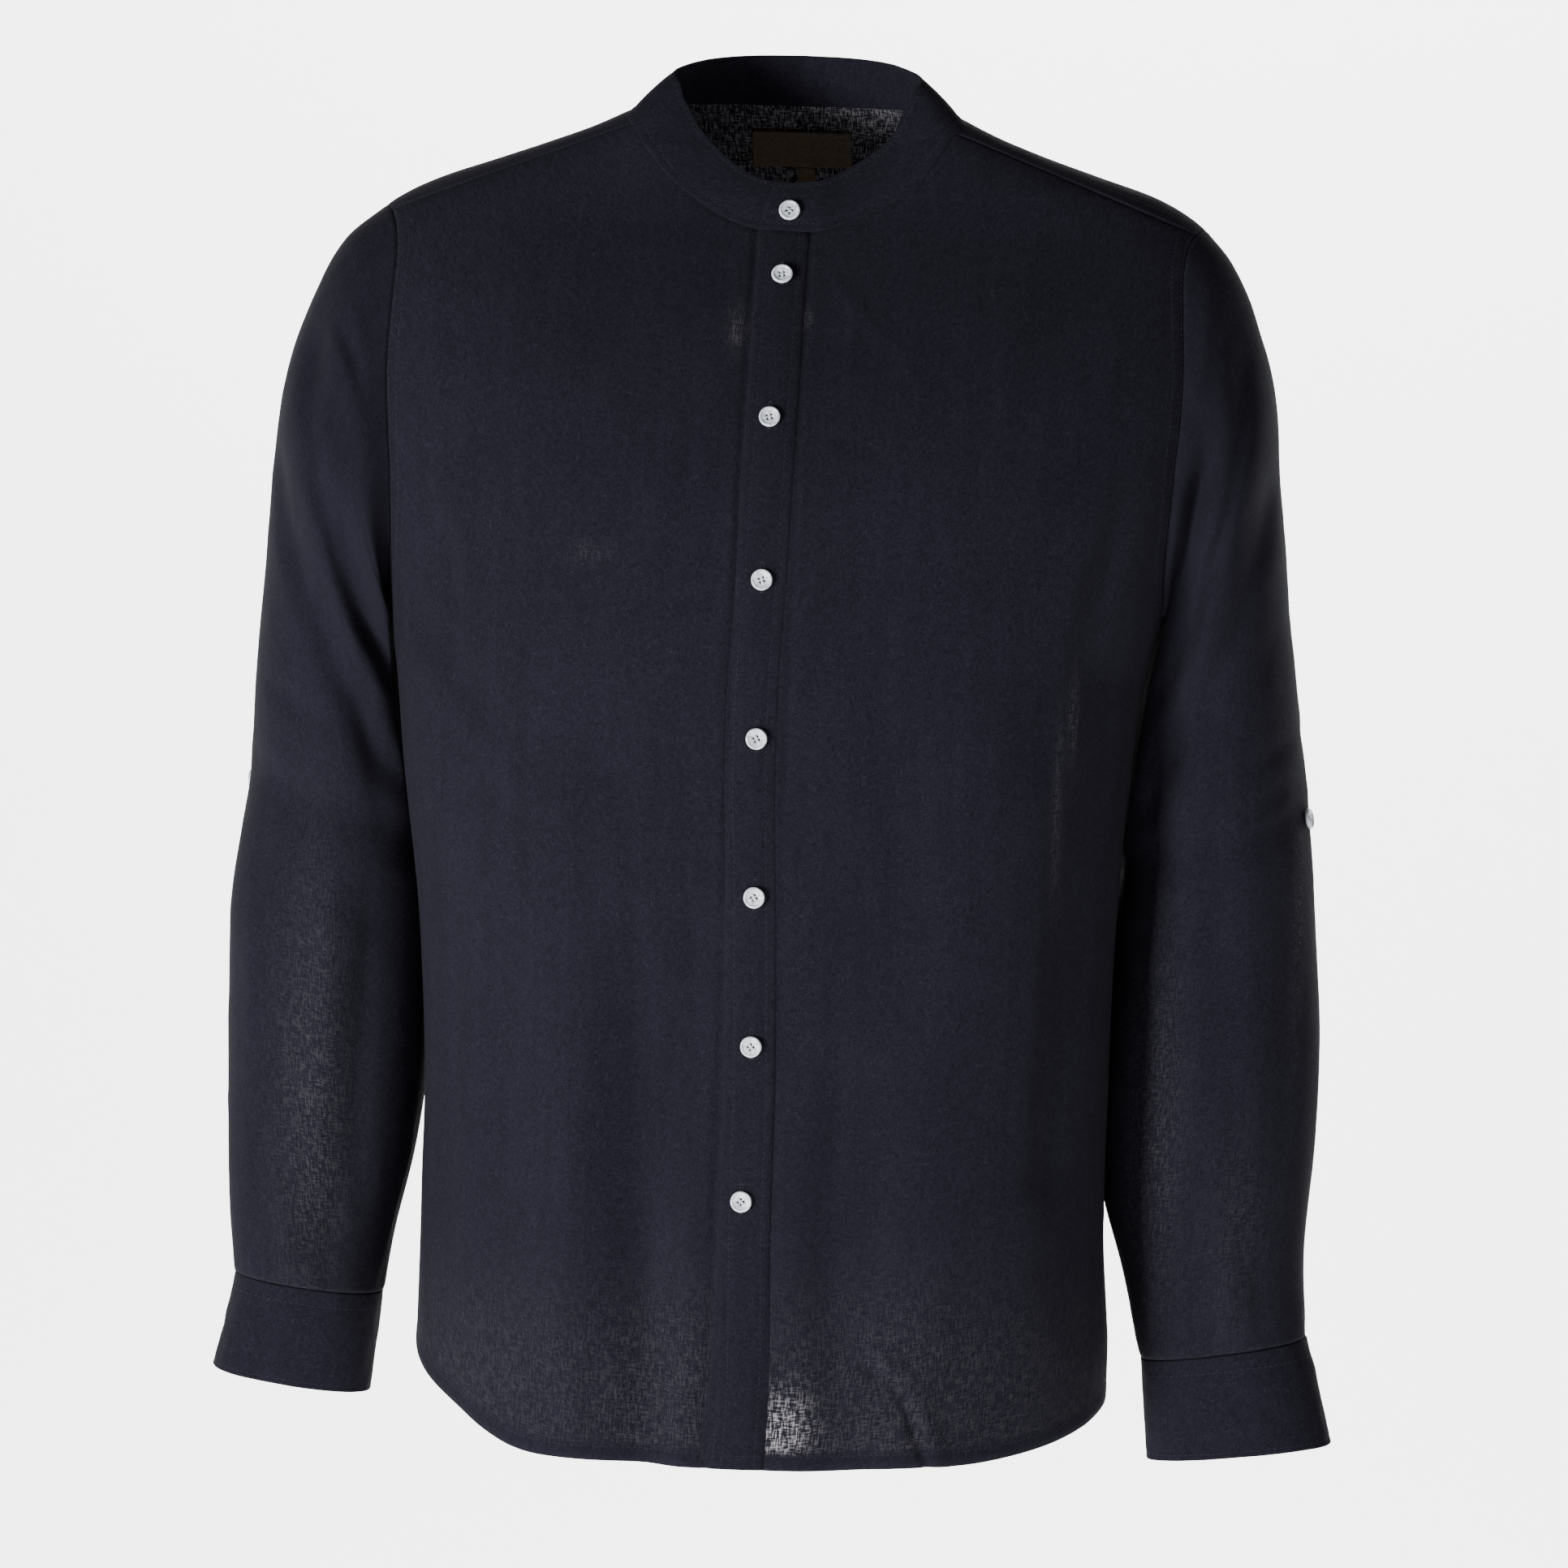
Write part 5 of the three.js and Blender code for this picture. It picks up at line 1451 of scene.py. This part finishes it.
# %% Label stitches
label_sewn = Stitches()
label_frame = label_chart(-28.8, 25.2, -9.0, -26.4, 0.35)
for u_path, v_path in (
    (np.linspace(0, 1, 60), np.zeros(60)),
    (np.linspace(0, 1, 60), np.ones(60)),
    (np.zeros(30), np.linspace(0, 1, 30)),
    (np.ones(30), np.linspace(0, 1, 30)),
):
    path = label_frame(u_path, v_path)[0]
    path[:, 1] -= 0.7
    for spot, direction in zip(*walk(path, 2.4)):
        label_sewn.add(spot - direction * 0.85, spot + direction * 0.85, (0, -1, 0))
label_thread = label_sewn.made("label_stitches", 0.18, 0.7)
print("label stitches:", len(label_sewn.starts))

# %% [markdown]
# ## Linen
#
# The cloth is a plain weave: each thread passes over one and under the next. A node group turns the lengths
# along the cloth into thread numbers, works out which thread lies on top, and lets every thread differ a
# little in tone and thickness, with the slubs that linen is known for. It gives masks and a height only, so
# the colours and the shader stay in the material.


# %% Shader helpers
def add_node(tree, kind, at=(0, 0), **settings):
    node = tree.nodes.new(kind)
    node.location = at
    for key, value in settings.items():
        setattr(node, key, value)
    return node


def feed(tree, sockets, values):
    """Gives each socket a plain value, a colour or a link."""
    for socket, value in zip(sockets, values):
        if isinstance(value, (int, float)):
            socket.default_value = value
        elif isinstance(value, tuple):
            socket.default_value = value if len(value) == len(socket.default_value) else (*value, 1)
        elif value is not None:
            tree.links.new(value, socket)


def set_inputs(node, **values):
    """Sets plain values on named sockets. An underscore stands for a space."""
    for name, value in values.items():
        node.inputs[name.replace("_", " ")].default_value = value


def math_node(tree, operation, *values, clamp=False):
    node = add_node(tree, "ShaderNodeMath", operation=operation, use_clamp=clamp)
    feed(tree, node.inputs, values)
    return node.outputs[0]


def mix_colours(tree, share, first, second, blend="MIX"):
    node = add_node(tree, "ShaderNodeMix", data_type="RGBA", blend_type=blend)
    feed(tree, (node.inputs["Factor"], node.inputs[6], node.inputs[7]), (share, first, second))
    return node.outputs[2]


def noise(tree, place, dimensions="2D", **values):
    node = add_node(tree, "ShaderNodeTexNoise", noise_dimensions=dimensions)
    set_inputs(node, **values)
    tree.links.new(place, node.inputs["Vector"])
    return node.outputs["Fac"]


def new_material(name):
    material = bpy.data.materials.new(name)
    material.use_nodes = True
    return material, material.node_tree, material.node_tree.nodes["Principled BSDF"]


def add_relief(tree, shader, height, strength, distance):
    relief = add_node(tree, "ShaderNodeBump")
    set_inputs(relief, Strength=strength, Distance=distance)
    tree.links.new(height, relief.inputs["Height"])
    tree.links.new(relief.outputs[0], shader.inputs["Normal"])


def group_tree(name, inputs, outputs):
    tree = bpy.data.node_groups.new(name, "ShaderNodeTree")
    for label, kind, value in inputs:
        socket = tree.interface.new_socket(name=label, in_out="INPUT", socket_type=kind)
        if value is not None:
            socket.default_value = value
    for label, kind in outputs:
        tree.interface.new_socket(name=label, in_out="OUTPUT", socket_type=kind)
    return tree, add_node(tree, "NodeGroupInput", (-1200, 0)), add_node(tree, "NodeGroupOutput", (1200, 0))


# %% Weave group
weave, weave_in, weave_out = group_tree(
    "linen weave",
    [("Lengths", "NodeSocketVector", None), ("Threads per metre", "NodeSocketFloat", 1900.0)],
    [(label, "NodeSocketFloat") for label in ("Tone", "Slub", "Height", "Open", "Bars")],
)
parts = add_node(weave, "ShaderNodeSeparateXYZ")
weave.links.new(weave_in.outputs["Lengths"], parts.inputs[0])
drift = noise(weave, weave_in.outputs["Lengths"], Scale=60, Detail=2)
drifted = math_node(weave, "MULTIPLY_ADD", drift, 2.4, -1.2)
count = weave_in.outputs["Threads per metre"]
warp = math_node(weave, "MULTIPLY_ADD", parts.outputs["X"], count, drifted)
weft = math_node(weave, "MULTIPLY_ADD", parts.outputs["Y"], count, drifted)


def thread_noise(number, run, apart, stretch, detail):
    """Noise that changes from thread to thread, and slowly along each."""
    place = add_node(weave, "ShaderNodeCombineXYZ")
    weave.links.new(math_node(weave, "MULTIPLY", number, apart), place.inputs["X"])
    weave.links.new(math_node(weave, "MULTIPLY", run, stretch), place.inputs["Y"])
    return noise(weave, place.outputs[0], Scale=1, Detail=detail)


def stretched_noise(stretch, detail):
    """Noise over the cloth, drawn out by a factor in each direction."""
    pulled = add_node(weave, "ShaderNodeVectorMath", operation="MULTIPLY")
    feed(weave, pulled.inputs, (weave_in.outputs["Lengths"], stretch))
    return noise(weave, pulled.outputs[0], Scale=1, Detail=detail)


def thread_of(position, run):
    """One set of threads: its number, a rounded profile across it, its tone, and its slubs along the run."""
    number = math_node(weave, "FLOOR", position)
    share = math_node(weave, "FRACT", position)
    round_top = math_node(weave, "SINE", math_node(weave, "MULTIPLY", share, math.pi))
    own = thread_noise(number, run, 5.3, 0.22, 2)
    tone = math_node(weave, "MULTIPLY_ADD", own, 3.4, -1.2, clamp=True)
    size = thread_noise(number, run, 3.7, 0.11, 1.5)
    thick = math_node(weave, "MULTIPLY_ADD", size, 5.0, -3.3, clamp=True)
    return number, round_top, tone, thick, size


warp_number, warp_top, warp_tone, warp_slub, warp_size = thread_of(warp, weft)
weft_number, weft_top, weft_tone, weft_slub, weft_size = thread_of(weft, warp)
both = math_node(weave, "ADD", warp_number, weft_number)
over = math_node(weave, "GREATER_THAN", math_node(weave, "PINGPONG", both, 1.0), 0.5)


def pick(first_value, second_value):
    node = add_node(weave, "ShaderNodeMix", data_type="FLOAT")
    feed(weave, (node.inputs["Factor"], node.inputs[2], node.inputs[3]), (over, first_value, second_value))
    return node.outputs[0]


weave.links.new(pick(warp_tone, weft_tone), weave_out.inputs["Tone"])
weave.links.new(pick(warp_slub, weft_slub), weave_out.inputs["Slub"])
crossing = [math_node(weave, "MULTIPLY", *tops) for tops in ((warp_top, weft_top), (weft_top, warp_top))]
ridge = pick(*crossing)
raised = math_node(weave, "MULTIPLY_ADD", pick(warp_slub, weft_slub), 0.5, ridge)
weave.links.new(raised, weave_out.inputs["Height"])
# Where both threads run thin the weave stands open, in short streaks that follow the threads both ways
thin_threads = math_node(weave, "ADD", warp_size, weft_size)
openness = math_node(weave, "MULTIPLY_ADD", thin_threads, -2.4, 0.15)
for stretch, strength in (((1300, 130, 1), 3.0), ((150, 1400, 1), 2.2)):
    openness = math_node(weave, "MULTIPLY_ADD", stretched_noise(stretch, 2), strength, openness)
openness = math_node(weave, "MAXIMUM", math_node(weave, "MINIMUM", openness, 1), 0)
weave.links.new(math_node(weave, "POWER", openness, 1.7), weave_out.inputs["Open"])
# Yarn from one spool is a little lighter or darker than the next, which makes soft bars along the warp
weave.links.new(stretched_noise((90, 9, 1), 4), weave_out.inputs["Bars"])
print("nodes in the weave group:", len(weave.nodes))


# %% [markdown]
# The linen itself is a very dark navy. The tone of each thread moves the colour a little, slubs are paler,
# and the light behind the open places is painted into the colour as pale streaks, on faces that look to the
# front. Roughness is high, with a thin sheen of loose fibres.


# %% Linen material
# Painted light: the colour of the light behind the cloth, painted where the weave is open.
LIGHT_BEHIND = (0.33, 0.31, 0.33)


def linen(name, dark, mid, pale, threads=1900.0, strength=0.3):
    material, tree, shader = new_material(name)
    group = add_node(tree, "ShaderNodeGroup", node_tree=weave)
    set_inputs(group, Threads_per_metre=threads)
    tree.links.new(add_node(tree, "ShaderNodeUVMap", uv_map="cloth").outputs[0], group.inputs["Lengths"])
    tone = mix_colours(tree, group.outputs["Tone"], dark, mid)
    where = add_node(tree, "ShaderNodeTexCoord")
    cloud = noise(tree, where.outputs["Object"], "3D", Scale=14, Detail=3, Roughness=0.62)
    spread = add_node(tree, "ShaderNodeMapRange")
    set_inputs(spread, From_Min=0.7, From_Max=1.3, To_Min=0.9, To_Max=1.1)
    tree.links.new(math_node(tree, "ADD", cloud, group.outputs["Bars"]), spread.inputs["Value"])
    faded = mix_colours(tree, 1, tone, spread.outputs[0], "MULTIPLY")
    slubbed = mix_colours(tree, math_node(tree, "MULTIPLY", group.outputs["Slub"], 0.7), faded, pale)
    ahead = add_node(tree, "ShaderNodeSeparateXYZ")
    tree.links.new(where.outputs["Normal"], ahead.inputs[0])
    faces_front = math_node(tree, "MULTIPLY", ahead.outputs["Y"], -4, clamp=True)
    # Painted light from behind: the pale colour goes where the weave is open, the marked share is high and
    # the face looks to the front.
    open_place = add_node(tree, "ShaderNodeAttribute", attribute_name="thin")
    much = math_node(tree, "MULTIPLY", open_place.outputs["Fac"], group.outputs["Open"])
    much = math_node(tree, "MULTIPLY", much, faces_front)
    tree.links.new(mix_colours(tree, much, slubbed, LIGHT_BEHIND), shader.inputs["Base Color"])
    rough = math_node(tree, "MULTIPLY_ADD", group.outputs["Slub"], -0.12, 0.92)
    tree.links.new(rough, shader.inputs["Roughness"])
    set_inputs(shader, Sheen_Weight=0.004, Sheen_Roughness=0.6, Specular_IOR_Level=0.06)
    add_relief(tree, shader, group.outputs["Height"], strength, 0.0003)
    return material


navy_linen = linen("navy linen", (0.0046, 0.0044, 0.0075), (0.0108, 0.0103, 0.0167), (0.028, 0.027, 0.038))
label_colours = (0.062, 0.043, 0.030), (0.125, 0.092, 0.068), (0.18, 0.14, 0.11)
label_cloth = linen("label weave", *label_colours, threads=2600.0, strength=0.2)
print("linen materials:", [navy_linen.name, label_cloth.name])


# %% [markdown]
# ## Thread and buttons
#
# Sewing thread is two twisted plies, so its tone alternates along the stitch. The buttons are a pale,
# slightly cloudy resin made to look like shell, with a soft gloss.


# %% Thread and button materials
def thread_material(name, colour, roughness):
    material, tree, shader = new_material(name)
    where = add_node(tree, "ShaderNodeTexCoord")
    twist = noise(tree, where.outputs["Object"], "3D", Scale=2200, Detail=1)
    dark, light = (tuple(min(c * share, 1) for c in colour) for share in (0.72, 1.25))
    tree.links.new(mix_colours(tree, twist, dark, light), shader.inputs["Base Color"])
    set_inputs(shader, Roughness=roughness, Specular_IOR_Level=0.1)
    add_relief(tree, shader, twist, 0.4, 0.0001)
    return material


navy_thread = thread_material("navy thread", (0.019, 0.018, 0.027), 0.8)
white_thread = thread_material("white thread", (0.62, 0.63, 0.66), 0.7)
label_stitch = thread_material("label thread", (0.05, 0.04, 0.03), 0.7)

shell, tree, shader = new_material("shell button")
where = add_node(tree, "ShaderNodeTexCoord")
clouds = noise(tree, where.outputs["Object"], "3D", Scale=260, Detail=4, Distortion=1.2)
ramp = add_node(tree, "ShaderNodeValToRGB")
stops = (0.32, (0.36, 0.39, 0.44, 1)), (0.68, (0.72, 0.75, 0.80, 1))
for element, (position, colour) in zip(ramp.color_ramp.elements, stops):
    element.position, element.color = position, colour
tree.links.new(clouds, ramp.inputs["Fac"])
tree.links.new(ramp.outputs[0], shader.inputs["Base Color"])
tree.links.new(math_node(tree, "MULTIPLY_ADD", clouds, 0.25, 0.2), shader.inputs["Roughness"])
set_inputs(shader, Coat_Weight=0.3, Coat_Roughness=0.15)
print("materials:", len(bpy.data.materials))

# %% [markdown]
# ## Putting it together
#
# Each piece gets its material, rides on the one body that the shirt is, and stands for its node.

# %% Dress the pieces
CUTS = (
    ("front_left", (0.36, 0.72), 0.207), ("front_right", (0.39, 0.72), 0.222), ("back", (0.62, 0.66), 0.37),
    ("yoke", (0.47, 0.26), 0.08), ("placket_over", (0.031, 0.69), None),
    ("placket_under", (0.024, 0.69), None), ("collar_band", (0.44, 0.03), None),
    ("sleeve_left", (0.50, 0.62), 0.23), ("sleeve_right", (0.50, 0.62), 0.23),
    ("cuff_left", (0.26, 0.06), None), ("cuff_right", (0.26, 0.06), None),
    ("sleeve_placket_left", (0.026, 0.128), None), ("sleeve_placket_right", (0.026, 0.128), None),
    ("label_main", (0.056, 0.019), None), ("label_size", (0.0105, 0.0102), None),
)
for node, flat, area in CUTS:
    is_label = node.startswith("label")
    piece = made["label_cloth" + node[5:]] if is_label else made["cloth_" + node]
    piece.data.materials.append(label_cloth if is_label else navy_linen)
    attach(piece, "root")
    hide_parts(node)

for piece in button_pieces:
    piece.data.materials.clear()
    piece.data.materials.append(shell)
    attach(piece, "root")
    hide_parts(piece.name[len("sewn_") :])
for piece, thread in (
    (topstitching, navy_thread),
    (buttonhole_thread, navy_thread),
    (label_thread, label_stitch),
    (button_thread, white_thread),
):
    piece.data.materials.append(thread)
    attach(piece, "root")
print("pieces dressed:", len(made) + len(button_pieces) + 4)

# %% [markdown]
# ## Studio
#
# The light comes mostly from the front and the left of the picture, from one large soft box, with a weaker
# one on the other side and a bright sky all round. The floor and wall are one pale sweep.

# %% Sweep
FLOOR, FRONT_EDGE, WALL_FOOT, BEND = -2.4, -9, 7, 1.5
bm = bmesh.new()
bmesh.ops.create_grid(bm, x_segments=1, y_segments=40, size=0.5)
for vertex in bm.verts:
    t = (vertex.co.y + 0.5) * 40
    x = vertex.co.x * 24
    if t <= 20:
        vertex.co = (x, FRONT_EDGE + t * 0.8, FLOOR)
    else:
        bend = (t - 20) / 20
        turn = min(bend * 2, 1) * math.pi / 2
        up = BEND * (1 - math.cos(turn)) + max(bend - 0.5, 0) * 16
        vertex.co = (x, WALL_FOOT + BEND * math.sin(turn), FLOOR + up)
sweep = place_object("studio_sweep", finish_mesh(bm, "studio_sweep"))
paper, tree, shader = new_material("paper sweep")
set_inputs(shader, Base_Color=(0.92, 0.92, 0.92, 1), Roughness=0.9)
set_inputs(shader, Emission_Color=(1, 1, 1, 1), Emission_Strength=1.3)
sweep.data.materials.append(paper)
sweep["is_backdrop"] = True


# %% Lights
def soft_box(name, spot, aim, size, power_w, colour=(1, 1, 1)):
    light = bpy.data.lights.new(name, "AREA")
    light.shape, light.size, light.energy, light.color = "SQUARE", size, power_w, colour
    lamp = place_object(name, light)
    lamp.location = spot
    lamp.rotation_euler = (Vector(aim) - Vector(spot)).to_track_quat("-Z", "Y").to_euler()
    return lamp


soft_box("key", (-2.4, -3.1, -0.95), (0, 0, -0.5), 1.1, 295)
soft_box("fill", (2.4, -2.8, 0.0), (0, 0, -0.4), 1.8, 4)
soft_box("wall light", (0, 4.6, 4.6), (0, 8.4, 0.2), 2.4, 1500)
world = bpy.data.worlds.new("studio")
bpy.context.scene.world = world
world.use_nodes = True
tree = world.node_tree
sky = tree.nodes["Background"]
set_inputs(sky, Color=(1, 1, 1, 1))
seen = add_node(tree, "ShaderNodeLightPath").outputs["Is Camera Ray"]
tree.links.new(math_node(tree, "MULTIPLY_ADD", seen, 1.2, 0.2), sky.inputs["Strength"])

# %% [markdown]
# ## Sizes
#
# The box of the dressed shirt is printed beside the box of the plain model, so the two can be compared.

# %% Sizes and finish
new_low, new_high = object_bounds()
boxes = {
    "cad": [list(cad_low), list(cad_high)],
    "visual": [list(new_low), list(new_high)],
}
for key, (low, high) in boxes.items():
    print(key, [round((b - a) * 1000, 1) for a, b in zip(low, high)], "mm")
